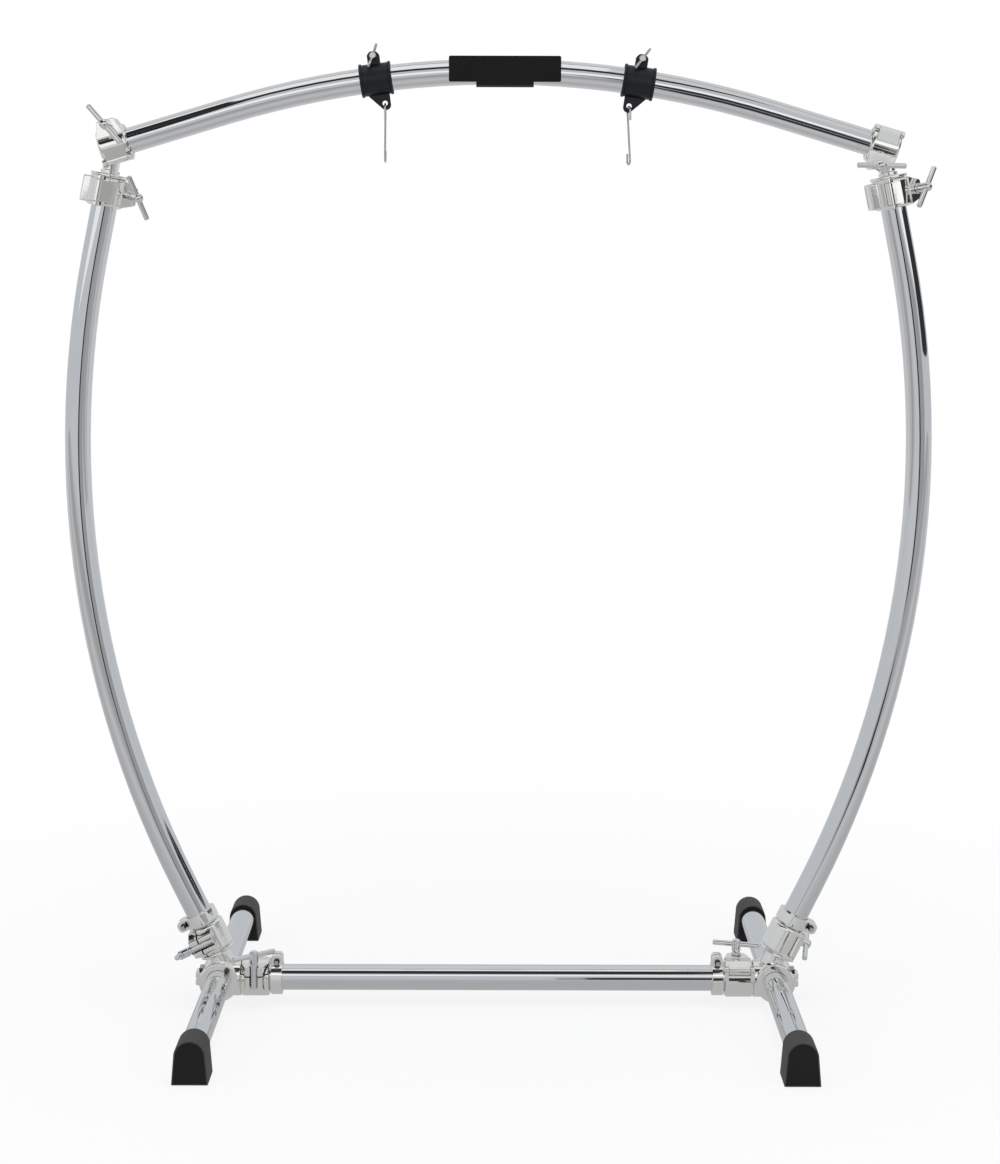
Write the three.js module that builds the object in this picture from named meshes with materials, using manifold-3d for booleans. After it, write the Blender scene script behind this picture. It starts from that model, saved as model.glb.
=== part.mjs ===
// Curved tube gong stand: a bowed top bar and two bowed uprights over a straight
// bottom bar and two legs, joined by hinged clamps, with two hangers on the top bar.
// Millimetres, +Z up, the player's side is -Y, the origin is on the floor under the middle.
import * as THREE from 'three';
import { mergeVertices } from 'three/addons/utils/BufferGeometryUtils.js';
import Module from 'manifold-3d';

const wasm = await Module();
wasm.setup();

// Clearance between separate pieces
const GAP = 0.4;

// Reach of a cutting shape that runs past everything
const FAR = 200;

// Tubes: 1.5 inch steel tube
const TUBE_RADIUS = 19.05;
const TUBE_WALL = 2;
const TUBE_SIDES = 16;
const BORE_SIDES = 8;
const BEND_STEPS = 16;

// Base: the height of its axes, the legs' distance from the middle, the whole depth
const AXIS_HEIGHT = 38;
const LEG_X = 421;
const STAND_DEPTH = 660;
const BAR_END_X = 389.2;

// Uprights: an arc with straight ends, widest at one height, leaning in at both ends
const UPRIGHT_BEND = 1495;
const WIDEST_X = 629.7;
const WIDEST_Z = 844;
const LEAN_LOW = THREE.MathUtils.degToRad(26.2);
const LEAN_HIGH = THREE.MathUtils.degToRad(11.3);

// Top bar: an arc with straight ends
const TOP_BEND = 1400;
const TOP_Z = 1407;
const TOP_SLOPE = THREE.MathUtils.degToRad(16.8);
const TOP_END_X = 588.5;

// Corner joints: where the uprights' axes meet the top bar's axis
const CORNER_X = 569;
const FLANGE_TOP = 38.2;
const FLANGE_THICK = 5;
const FLANGE_RADIUS = 14;
const PLATE_THICK = 4;
const SPIGOT_RADIUS = 7;
const SPIGOT_RISE = 2;
const STUB_LENGTH = 6;
const BOSS_RADIUS = 12;
const LOWER_CLAMP_TURN = THREE.MathUtils.degToRad(52);

// Hinged clamps, the same on the corners and on the base castings
const CLAMP_LENGTH = 45;
const CLAMP_RADIUS = 27.5;
const CLAMP_SIDES = 20;
const SPLIT = 12;
const SPLIT_GAP = 0.8;
const HINGE_X = 18;
const HINGE_Y = 23;
const KNUCKLE_RADIUS = 5.5;
const KNUCKLE_LENGTH = 6;
const HINGE_LUG_BACK = 4;
const HINGE_LINK_LOW = 6;
const HINGE_LINK_BACK = 2;
const HINGE_PIN_RADIUS = 2.5;
const HINGE_PIN_INSET = 0.6;
const JAW_INSET = 1;
const SCREW_OFFSET = 30;
const EAR_REACH = 37.5;
const EAR_ROOT = 21;
const EAR_TIP = 13;
const EAR_OUTER = 26.5;
const BLOCK_BACK = -12;
const SCREW_SLOT = 6;
const PAD_LOW = [-24, 4];
const PAD_HIGH = [20, 35];
const PAD_INSET = 3;

// T screws: threaded shank, washer, long rounded hub and a loose-looking cross rod
const SHANK_RADIUS = 5.2;
const SHANK_TIP = -8;
const WASHER_RADIUS = 8;
const WASHER_THICK = 2;
const HUB_RADIUS = 6.8;
const HUB_LENGTH = 24;
const NOSE_LENGTH = 2;
const NOSE_RADIUS = 3.8;
const CROSS_ROD_RADIUS = 4;
const CROSS_ROD_HALF = 36;
const CROSS_ROD_AT = 43;

// How far each cross rod is turned, in degrees, on the left and on the right
const BAR_ROD_TURN = [36, -14];
const FOOT_ROD_TURN = [102, -65];
const LOWER_ROD_TURN = [37, -43];
const UPPER_ROD_TURN = [-66, 16];

// Base castings
const SOCKET_MIDDLE_X = 367;
const HUB_CASTING_RADIUS = 30;
const HUB_CASTING_HALF = 28;
const LEG_CROSS_X = 404.7;
const UPRIGHT_SOCKET_START = 48;
const UPRIGHT_TUBE_START = 49;
const WEB_RADIUS = 17;
const WEB_START = 8;
const BAR_WEB_START = 6;
const CAP_THICK = 3;
const PINCH_X = 449;
const PINCH_REACH = 458;
const PINCH_HALF = 10;
const PINCH_DEPTH = 12;
const PINCH_SLOT = 1.2;
const PINCH_SCREW_RADIUS = 3;
const PINCH_HEAD_ROOM = 3;

// Square-headed key screws of the pinch lugs and the memory locks
const KEY_COLLAR_LIP = 1.8;
const KEY_COLLAR_THICK = 3;
const KEY_HEAD_LENGTH = 8;
const KEY_SHANK_SHORT = 2;

// Memory locks beside the sockets
const LOCK_WIDTH = 16.5;
const LOCK_RADIUS = 25.5;
const LOCK_X = 334.5;
const LOCK_S = 104;
const LOCK_LUG_REACH = 36.5;
const LOCK_LUG_HALF = 12;
const LOCK_SLOT = 1.2;
const LOCK_SCREW_OFFSET = 27.5;
const LOCK_SCREW_RADIUS = 2.8;

// Rubber feet
const FOOT_WIDTH = 51;
const FOOT_DEPTH = 50;
const FOOT_ARCH = 22.3;
const FOOT_ARCH_HEIGHT = 40.2;
const FOOT_BEVEL = 1.5;
const FOOT_SOCKET_DEPTH = 42;

// Hangers on the top bar, where they stand along it
const HANGER_X = [-182, 206];
const HANGER_WIDTH = 47;
const HANGER_RADIUS = 23.3;
const HANGER_BORE = 20.3;
const FLANGE_LIP = 1.4;
const LIP_WIDTH = 4;
const PINCH_EAR_REACH = 41;
const PINCH_EAR_HALF = 9;
const PINCH_EAR_START = 15;
const WING_SCREW_OFFSET = 34;
const WING_HUB = 10;
const WING_HUB_RADIUS = 6;
const WING_HUB_TIP = 4.5;
const WING_NUT_RADIUS = 5.5;
const WING_NUT_LENGTH = 4;
const WING_HALF_THICK = 2;
const WING_OUTLINE = [[2, 2], [9, 4], [17.5, 9], [18.5, 13], [14.5, 15], [8, 10], [2, 9]];
const WING_TURN = [20, 38];
const HOOK_PLATE_OUTLINE = [[17, -15], [-14, -15], [-14, -24], [2, -46.5], [14, -46.5], [17, -44]];
const HOOK_HOLE_IN = 8.5;
const HOOK_HOLE_DOWN = 36.5;
const HOOK_HOLE_RADIUS = 4;
const HOOK_PLATE_HALF = 2.5;
const HOOK_CLEARANCE = 1.5;

// Wire hooks: two opposite bends joined by a slanting shank
const WIRE_RADIUS = 1.5;
const HOOK_BEND = 6;
const HOOK_HEIGHT = 85;
const UPPER_TAIL = 20;
const LOWER_TAIL = 16;
const HOOK_YAW = [0, 17];

// Badge: a blank plate with a clip under the tube
const BADGE_X = 8.5;
const BADGE_WIDTH = 165;
const BADGE_LOW = 1390.4;
const BADGE_HIGH = 1428.4;
const BADGE_FRONT = -25.5;
const BADGE_THICK = 3;
const CLIP_LENGTH = 85;
const CLIP_BORE = 20.1;
const CLIP_RADIUS = 22.9;
const CLIP_OPEN_FROM = [-4, 3];
const BRIDGE_HALF = 12;

function metal(color, roughness) {
  return new THREE.MeshStandardMaterial({ color, roughness, metalness: 1 });
}

const finishes = {
  chrome: () => metal(0xd9dbdd, 0.06),
  castChrome: () => metal(0xd6d6d3, 0.14),
  steel: () => metal(0xb9bcc0, 0.25),
  rubber: () => new THREE.MeshStandardMaterial({ color: 0x242425, roughness: 0.75, metalness: 0 }),
  plastic: () => new THREE.MeshStandardMaterial({ color: 0x1c1f28, roughness: 0.45, metalness: 0 }),
};

// Solids

function at(x, y, z) {
  return new THREE.Vector3(x, y, z);
}

function solid(geometry) {
  const bare = geometry.clone();
  bare.deleteAttribute('normal');
  bare.deleteAttribute('uv');
  const merged = mergeVertices(bare, 1e-4);
  return new wasm.Manifold(new wasm.Mesh({
    numProp: 3,
    vertProperties: new Float32Array(merged.attributes.position.array),
    triVerts: new Uint32Array(merged.index.array),
  }));
}

function shell(body) {
  const mesh = body.getMesh();
  const geometry = new THREE.BufferGeometry();
  geometry.setAttribute('position', new THREE.BufferAttribute(new Float32Array(mesh.vertProperties), 3));
  geometry.setIndex(new THREE.BufferAttribute(new Uint32Array(mesh.triVerts), 1));
  geometry.computeVertexNormals();
  return geometry;
}

function moved(body, matrix) {
  return solid(shell(body).applyMatrix4(matrix));
}

function join(...bodies) {
  return bodies.reduce((sum, body) => sum.add(body));
}

function cut(body, ...tools) {
  return tools.reduce((rest, tool) => rest.subtract(tool), body);
}

function round(radius, from, to, sides = 16, endRadius = radius) {
  const along = to.clone().sub(from);
  const geometry = new THREE.CylinderGeometry(endRadius, radius, along.length(), sides);
  const turn = new THREE.Quaternion().setFromUnitVectors(at(0, 1, 0), along.normalize());
  geometry.applyQuaternion(turn);
  const middle = from.clone().add(to).multiplyScalar(0.5);
  geometry.translate(middle.x, middle.y, middle.z);
  return solid(geometry);
}

// A round hole keeps its full radius at the middle of each flat
function hole(radius, from, to, sides = 16) {
  return round(radius / Math.cos(Math.PI / sides), from, to, sides);
}

function block(low, high) {
  const geometry = new THREE.BoxGeometry(high[0] - low[0], high[1] - low[1], high[2] - low[2]);
  geometry.translate((low[0] + high[0]) / 2, (low[1] + high[1]) / 2, (low[2] + high[2]) / 2);
  return solid(geometry);
}

function prism(points, low, high) {
  const shape = new THREE.Shape(points.map(([x, y]) => new THREE.Vector2(x, y)));
  const geometry = new THREE.ExtrudeGeometry(shape, { depth: high - low, bevelEnabled: false });
  geometry.translate(0, 0, low);
  return solid(geometry);
}

// A frame from its origin and its first two directions
function frame(origin, xDirection, yDirection) {
  const zDirection = xDirection.clone().cross(yDirection);
  return new THREE.Matrix4().makeBasis(xDirection, yDirection, zDirection).setPosition(origin);
}

const stand = new THREE.Group();

function piece(name, shape, finish, matrix = new THREE.Matrix4()) {
  const geometry = shape.isBufferGeometry ? shape : shell(shape);
  const mesh = new THREE.Mesh(geometry, finishes[finish]());
  mesh.name = name;
  matrix.decompose(mesh.position, mesh.quaternion, mesh.scale);
  stand.add(mesh);
}

// Tubes

// Points by their distance along an arc that runs on straight past its two end angles
function bowed(bend, lowAngle, highAngle, distance) {
  const angle = THREE.MathUtils.clamp(distance / bend, -lowAngle, highAngle);
  const rest = distance - angle * bend;
  const along = bend * Math.sin(angle) + rest * Math.cos(angle);
  const inward = bend * (1 - Math.cos(angle)) + rest * Math.sin(angle);
  return { along, inward };
}

class BowedAxis extends THREE.Curve {
  constructor(from, to, place) {
    super();
    this.from = from;
    this.to = to;
    this.place = place;
  }

  getPoint(t) {
    return this.place(this.from + t * (this.to - this.from));
  }
}

function ring(outer, inner) {
  const circle = (radius, sides) => Array.from({ length: sides }, (_, i) => {
    const angle = (2 * Math.PI * i) / sides;
    return new THREE.Vector2(radius * Math.cos(angle), radius * Math.sin(angle));
  });
  const shape = new THREE.Shape(circle(outer, TUBE_SIDES));
  shape.holes.push(new THREE.Path(circle(inner, BORE_SIDES)));
  return shape;
}

function tubeAlong(path, steps) {
  const section = ring(TUBE_RADIUS, TUBE_RADIUS - TUBE_WALL);
  return new THREE.ExtrudeGeometry(section, { extrudePath: path, steps, bevelEnabled: false });
}

function straightTube(from, to) {
  return tubeAlong(new THREE.LineCurve3(from, to), 1);
}

function uprightPoint(side, distance) {
  const { along, inward } = bowed(UPRIGHT_BEND, LEAN_LOW, LEAN_HIGH, distance);
  return at(side * (WIDEST_X - inward), 0, WIDEST_Z + along);
}

function topPoint(distance) {
  const { along, inward } = bowed(TOP_BEND, TOP_SLOPE, TOP_SLOPE, distance);
  return at(along, 0, TOP_Z - inward);
}

// Distance along an upright where its straight ends reach a height
function uprightDistance(height) {
  const rise = height - WIDEST_Z;
  const angle = rise > 0 ? LEAN_HIGH : LEAN_LOW;
  const sign = Math.sign(rise);
  return sign * (angle * UPRIGHT_BEND + (Math.abs(rise) - UPRIGHT_BEND * Math.sin(angle)) / Math.cos(angle));
}

const topArcX = TOP_BEND * Math.sin(TOP_SLOPE);
const cornerZ = TOP_Z - TOP_BEND * (1 - Math.cos(TOP_SLOPE)) - (CORNER_X - topArcX) * Math.tan(TOP_SLOPE);
const topHalfLength = TOP_SLOPE * TOP_BEND + (TOP_END_X - topArcX) / Math.cos(TOP_SLOPE);
const plateTop = FLANGE_TOP + FLANGE_THICK + GAP;
const uprightTop = uprightDistance(cornerZ) - plateTop - PLATE_THICK - 2 * GAP;
const uprightBottom = uprightDistance(AXIS_HEIGHT) + UPRIGHT_TUBE_START + GAP;

const barEnd = BAR_END_X - 2 * GAP;
piece('bottom_bar', straightTube(at(-barEnd, 0, AXIS_HEIGHT), at(barEnd, 0, AXIS_HEIGHT)), 'chrome');
piece('top_bar', tubeAlong(new BowedAxis(-topHalfLength, topHalfLength, topPoint), BEND_STEPS), 'chrome');

// Hinged clamps, each made in its own frame: the tube along Z, the T screw along +X
// in ears on the -Y side, the hinge pin on the +Y side

const half = CLAMP_LENGTH / 2;
const tubeHole = hole(TUBE_RADIUS + GAP, at(0, 0, -FAR), at(0, 0, FAR), TUBE_SIDES);
const knuckleFrom = half - KNUCKLE_LENGTH;

// Ear outline, wide at the ring and narrow at its tip, across the tube
function ear(x0, x1) {
  const outline = [[-EAR_REACH, -EAR_TIP], [-EAR_REACH, EAR_TIP], [-SPLIT, EAR_ROOT], [-SPLIT, -EAR_ROOT]];
  const body = prism(outline, x0, x1);
  const turn = new THREE.Matrix4().makeBasis(at(0, 1, 0), at(0, 0, 1), at(1, 0, 0));
  return moved(body, turn);
}

// Slot for the T screw, open at the ear's tip
function screwSlot(radius, x0, x1) {
  const bottom = hole(radius, at(x0, -SCREW_OFFSET, 0), at(x1, -SCREW_OFFSET, 0), 10);
  return [bottom, block([x0, -FAR, -radius], [x1, -SCREW_OFFSET, radius])];
}

function knuckle(z0, z1, radius = KNUCKLE_RADIUS) {
  return round(radius, at(HINGE_X, HINGE_Y, z0), at(HINGE_X, HINGE_Y, z1), 10);
}

const pinEnds = [at(HINGE_X, HINGE_Y, -FAR), at(HINGE_X, HINGE_Y, FAR)];
const pinHole = hole(HINGE_PIN_RADIUS + GAP, ...pinEnds, 8);
const farSide = [FAR, FAR, FAR];

function clampBody() {
  const shellRing = round(CLAMP_RADIUS, at(0, 0, -half), at(0, 0, half), CLAMP_SIDES);
  const split = block([SPLIT - SPLIT_GAP, -FAR, -FAR], farSide);
  const lugBottom = HINGE_Y - KNUCKLE_RADIUS;
  const lugTop = HINGE_Y + KNUCKLE_RADIUS;
  const lugBack = [HINGE_LUG_BACK, (lugBottom + HINGE_Y) / 2];
  const lug = [lugBack, [HINGE_X, lugBottom], [HINGE_X, lugTop], [HINGE_LUG_BACK, lugTop]];
  const upper = join(knuckle(knuckleFrom, half), prism(lug, knuckleFrom, half));
  const lower = join(knuckle(-half, -knuckleFrom), prism(lug, -half, -knuckleFrom));
  const slot = screwSlot(SCREW_SLOT, BLOCK_BACK - 1, SPLIT);
  const main = join(cut(shellRing, split), ear(BLOCK_BACK, SPLIT - SPLIT_GAP));
  const swing = knuckle(-knuckleFrom - GAP, knuckleFrom + GAP, KNUCKLE_RADIUS + GAP);
  return cut(join(cut(main, swing), upper, lower), tubeHole, pinHole, ...slot);
}

function clampJaw() {
  const jawHalf = half - JAW_INSET;
  const shellRing = round(CLAMP_RADIUS, at(0, 0, -jawHalf), at(0, 0, jawHalf), CLAMP_SIDES);
  const split = block([-FAR, -FAR, -FAR], [SPLIT + SPLIT_GAP, FAR, FAR]);
  const middle = knuckleFrom - GAP;
  const linkFoot = [[CLAMP_RADIUS - HINGE_LINK_LOW, HINGE_LINK_LOW], [CLAMP_RADIUS, HINGE_LINK_LOW]];
  const link = [[HINGE_X - HINGE_LINK_BACK, HINGE_Y], ...linkFoot, [HINGE_X + KNUCKLE_RADIUS, HINGE_Y]];
  const main = join(cut(shellRing, split), ear(SPLIT + SPLIT_GAP, EAR_OUTER));
  const clear = KNUCKLE_RADIUS + GAP;
  const roomInner = [[0, HINGE_Y - clear], [HINGE_X, HINGE_Y - clear]];
  const room = [...roomInner, [HINGE_X + clear, HINGE_Y], [HINGE_X, FAR], [0, FAR]];
  const roomStart = knuckleFrom - GAP;
  const ends = [prism(room, roomStart, FAR), prism(room, -FAR, -roomStart)];
  const knuckleRooms = [knuckle(roomStart, FAR, clear), knuckle(-FAR, -roomStart, clear)];
  const slot = screwSlot(SHANK_RADIUS + GAP, 0, FAR);
  const tongue = join(knuckle(-middle, middle), prism(link, -middle, middle));
  const hinged = join(cut(main, ...ends, ...knuckleRooms), tongue);
  return cut(hinged, tubeHole, pinHole, ...slot);
}

function clampPin() {
  const reach = half - HINGE_PIN_INSET;
  return round(HINGE_PIN_RADIUS, at(HINGE_X, HINGE_Y, -reach), at(HINGE_X, HINGE_Y, reach), 8);
}

// The T screw lies along X through its own origin, its cross rod at rest along Z
function tScrew() {
  const start = EAR_OUTER + GAP;
  const end = start + HUB_LENGTH;
  const shank = round(SHANK_RADIUS, at(SHANK_TIP, 0, 0), at(start + 1, 0, 0), 8);
  const washer = round(WASHER_RADIUS, at(start, 0, 0), at(start + WASHER_THICK, 0, 0), 12);
  const hub = round(HUB_RADIUS, at(start + 1, 0, 0), at(end - NOSE_LENGTH, 0, 0), 10);
  const nose = round(HUB_RADIUS, at(end - NOSE_LENGTH, 0, 0), at(end, 0, 0), 10, NOSE_RADIUS);
  const rodEnds = [at(CROSS_ROD_AT, 0, -CROSS_ROD_HALF), at(CROSS_ROD_AT, 0, CROSS_ROD_HALF)];
  const rod = round(CROSS_ROD_RADIUS, ...rodEnds, 8);
  return join(shank, washer, hub, nose, rod);
}

const jawShape = shell(clampJaw());
const pinShape = shell(clampPin());
const screwShape = shell(tScrew());

// A clamp's moving pieces: its jaw, its hinge pin and its T screw, the rod turned by an angle
function clampPieces(name, matrix, rodAngle) {
  piece(`${name}_jaw`, jawShape, 'castChrome', matrix);
  piece(`${name}_hinge_pin`, pinShape, 'steel', matrix);
  const turn = new THREE.Matrix4().makeRotationX(THREE.MathUtils.degToRad(rodAngle));
  turn.setPosition(0, -SCREW_OFFSET, 0);
  piece(`${name}_t_screw`, screwShape, 'chrome', matrix.clone().multiply(turn));
}

// Memory locks: a split ring with a lug on the -Y side and a key screw along X through it

function lockRing() {
  const body = round(LOCK_RADIUS, at(0, 0, -LOCK_WIDTH / 2), at(0, 0, LOCK_WIDTH / 2), CLAMP_SIDES);
  const lowLug = [-LOCK_LUG_HALF, -LOCK_LUG_REACH, -LOCK_WIDTH / 2];
  const lug = block(lowLug, [LOCK_LUG_HALF, -SPLIT, LOCK_WIDTH / 2]);
  const slit = block([-LOCK_SLOT, -FAR, -FAR], [LOCK_SLOT, 0, FAR]);
  const ends = [at(-FAR, -LOCK_SCREW_OFFSET, 0), at(FAR, -LOCK_SCREW_OFFSET, 0)];
  return cut(join(body, lug), tubeHole, slit, hole(LOCK_SCREW_RADIUS + GAP, ...ends, 8));
}

function keyScrew(reach, shankRadius) {
  const head = reach + GAP;
  const shank = round(shankRadius, at(KEY_SHANK_SHORT - reach, 0, 0), at(head + 1, 0, 0), 8);
  const collarEnd = head + KEY_COLLAR_THICK;
  const collar = round(shankRadius + KEY_COLLAR_LIP, at(head, 0, 0), at(collarEnd, 0, 0), 10);
  const squareEnd = [head + KEY_HEAD_LENGTH, shankRadius, shankRadius];
  const square = block([collarEnd - 1, -shankRadius, -shankRadius], squareEnd);
  return join(shank, collar, square);
}

const lockShape = shell(lockRing());
const lockScrewShape = shell(keyScrew(LOCK_LUG_HALF, LOCK_SCREW_RADIUS));

function lockPieces(name, matrix) {
  piece(`${name}_memory_lock`, lockShape, 'castChrome', matrix);
  const offset = new THREE.Matrix4().makeTranslation(0, -LOCK_SCREW_OFFSET, 0);
  piece(`${name}_lock_screw`, lockScrewShape, 'steel', matrix.clone().multiply(offset));
}

// Base castings: the left one is made in place, the right one is the same turned half round

const down = at(0, 0, -1);
const up = at(0, 0, 1);
const front = at(0, -1, 0);
const back = at(0, 1, 0);
const leftLow = at(-Math.sin(LEAN_LOW), 0, Math.cos(LEAN_LOW));
const outboardDown = at(-Math.cos(LEAN_LOW), 0, -Math.sin(LEAN_LOW));
const legCross = at(-LEG_CROSS_X, 0, AXIS_HEIGHT);
const barSocket = frame(at(-SOCKET_MIDDLE_X, 0, AXIS_HEIGHT), up, back);
const socketMiddle = UPRIGHT_SOCKET_START + half;
const uprightSocket = frame(legCross.clone().addScaledVector(leftLow, socketMiddle), outboardDown, back);

function baseCasting() {
  const axis = (y) => at(-LEG_X, y, AXIS_HEIGHT);
  const hub = round(HUB_CASTING_RADIUS, axis(-HUB_CASTING_HALF), axis(HUB_CASTING_HALF), 24);
  const legHole = hole(TUBE_RADIUS + GAP, axis(-FAR), axis(FAR), TUBE_SIDES);
  const onUpright = (s) => legCross.clone().addScaledVector(leftLow, s);
  const web = round(WEB_RADIUS, onUpright(WEB_START), onUpright(UPRIGHT_SOCKET_START), 12);
  const capEnds = [onUpright(UPRIGHT_SOCKET_START - CAP_THICK), onUpright(UPRIGHT_SOCKET_START + GAP)];
  const cap = round(CLAMP_RADIUS, ...capEnds, CLAMP_SIDES);
  const onBar = (x) => at(-x, 0, AXIS_HEIGHT);
  const barWeb = round(CLAMP_RADIUS, onBar(LEG_X - BAR_WEB_START), onBar(BAR_END_X), CLAMP_SIDES);
  const lugLow = [-PINCH_REACH, -PINCH_DEPTH, AXIS_HEIGHT - PINCH_HALF];
  const lug = block(lugLow, [-LEG_X, PINCH_DEPTH, AXIS_HEIGHT + PINCH_HALF]);
  const slitLow = [-PINCH_REACH - 1, -FAR, AXIS_HEIGHT - PINCH_SLOT];
  const slit = block(slitLow, [-LEG_X, FAR, AXIS_HEIGHT + PINCH_SLOT]);
  const pinchTop = at(-PINCH_X, 0, 2 * AXIS_HEIGHT);
  const screwHole = hole(PINCH_SCREW_RADIUS + GAP, at(-PINCH_X, 0, 0), pinchTop, 8);
  const lugTop = AXIS_HEIGHT + PINCH_HALF;
  const headRoom = hole(PINCH_SCREW_RADIUS + PINCH_HEAD_ROOM, at(-PINCH_X, 0, lugTop), pinchTop, 10);
  const sockets = [moved(clampBody(), barSocket), moved(clampBody(), uprightSocket)];
  const casting = join(hub, web, cap, barWeb, lug, ...sockets);
  return cut(casting, legHole, slit, screwHole, headRoom);
}

const baseShape = shell(baseCasting());
const pinchScrewShape = shell(keyScrew(PINCH_HALF, PINCH_SCREW_RADIUS));

// Corner joints

const padTurn = new THREE.Matrix4().makeRotationZ(Math.PI / 2 - LOWER_CLAMP_TURN);

// Lower clamp body: closed over the upright's end by a plate, with a flat pad on its side
function lowerClampBody() {
  const top = -half;
  const plate = round(CLAMP_RADIUS, at(0, 0, top - PLATE_THICK), at(0, 0, top + GAP), CLAMP_SIDES);
  const spigotHole = hole(SPIGOT_RADIUS + GAP, at(0, 0, -FAR), at(0, 0, 0), 12);
  const padShape = block([...PAD_LOW, PAD_INSET - half], [...PAD_HIGH, half - PAD_INSET]);
  const pad = moved(padShape, padTurn);
  const reach = block([-FAR, -FAR, -FAR], [SPLIT - SPLIT_GAP, FAR, FAR]);
  const body = join(clampBody(), cut(pad.intersect(reach), tubeHole));
  return cut(join(body, plate), spigotHole);
}

// Upper clamp body: a boss under the bar takes the swivel, square to the upright
function upperClampBody(matrix, corner, upright) {
  const end = corner.clone().addScaledVector(upright, -FLANGE_TOP + GAP);
  const boss = round(BOSS_RADIUS, corner, end, 14);
  const recessTop = end.clone().addScaledVector(upright, SPIGOT_RISE + GAP);
  const recessLow = end.clone().addScaledVector(upright, -FLANGE_THICK);
  const recess = hole(SPIGOT_RADIUS + GAP, recessTop, recessLow, 12);
  const inner = moved(boss, matrix.clone().invert());
  const hollow = moved(recess, matrix.clone().invert());
  const flangeRoom = moved(hole(FLANGE_RADIUS + GAP, end, recessLow, 18), matrix.clone().invert());
  const slot = screwSlot(SCREW_SLOT, BLOCK_BACK - 1, SPLIT);
  const jawRoom = block([SPLIT - SPLIT_GAP, -FAR, -FAR], farSide);
  return cut(join(clampBody(), cut(inner, jawRoom)), tubeHole, ...slot, hollow, flangeRoom);
}

// Swivel: a toothed flange between the two clamps, with a stub into each
function swivelPost() {
  const flange = round(FLANGE_RADIUS, at(0, 0, -FLANGE_TOP - FLANGE_THICK), at(0, 0, -FLANGE_TOP), 18);
  const inFlange = at(0, 0, -FLANGE_TOP - 1);
  const spigot = round(SPIGOT_RADIUS, inFlange, at(0, 0, -FLANGE_TOP + SPIGOT_RISE), 12);
  const stub = round(SPIGOT_RADIUS, at(0, 0, -plateTop - PLATE_THICK - STUB_LENGTH), inFlange, 12);
  return join(flange, spigot, stub);
}

const lowerBodyShape = shell(lowerClampBody());
const swivelShape = shell(swivelPost());

// Feet: an arched outline run along the leg, with bevelled ends and a blind socket
function foot() {
  const outline = new THREE.Shape();
  outline.moveTo(-FOOT_WIDTH / 2 + FOOT_BEVEL, FOOT_BEVEL);
  outline.lineTo(FOOT_WIDTH / 2 - FOOT_BEVEL, FOOT_BEVEL);
  outline.lineTo(FOOT_ARCH - FOOT_BEVEL, FOOT_ARCH_HEIGHT);
  outline.absarc(0, FOOT_ARCH_HEIGHT, FOOT_ARCH - FOOT_BEVEL, 0, Math.PI, false);
  outline.closePath();
  const settings = { depth: FOOT_DEPTH - 2 * FOOT_BEVEL, curveSegments: 7, bevelSegments: 1 };
  const sizes = { bevelThickness: FOOT_BEVEL, bevelSize: FOOT_BEVEL };
  const geometry = new THREE.ExtrudeGeometry(outline, { ...settings, ...sizes });
  geometry.translate(0, 0, FOOT_BEVEL);
  const floor = block([-FAR, -FAR, -FAR], [FAR, 0, FAR]);
  const socketEnd = at(0, AXIS_HEIGHT, FOOT_DEPTH + 1);
  const socketStart = at(0, AXIS_HEIGHT, FOOT_DEPTH - FOOT_SOCKET_DEPTH);
  return cut(solid(geometry), floor, hole(TUBE_RADIUS + GAP, socketStart, socketEnd, TUBE_SIDES));
}

const footShape = shell(foot());
const legEnd = STAND_DEPTH / 2 - FOOT_DEPTH + FOOT_SOCKET_DEPTH - GAP;

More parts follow.
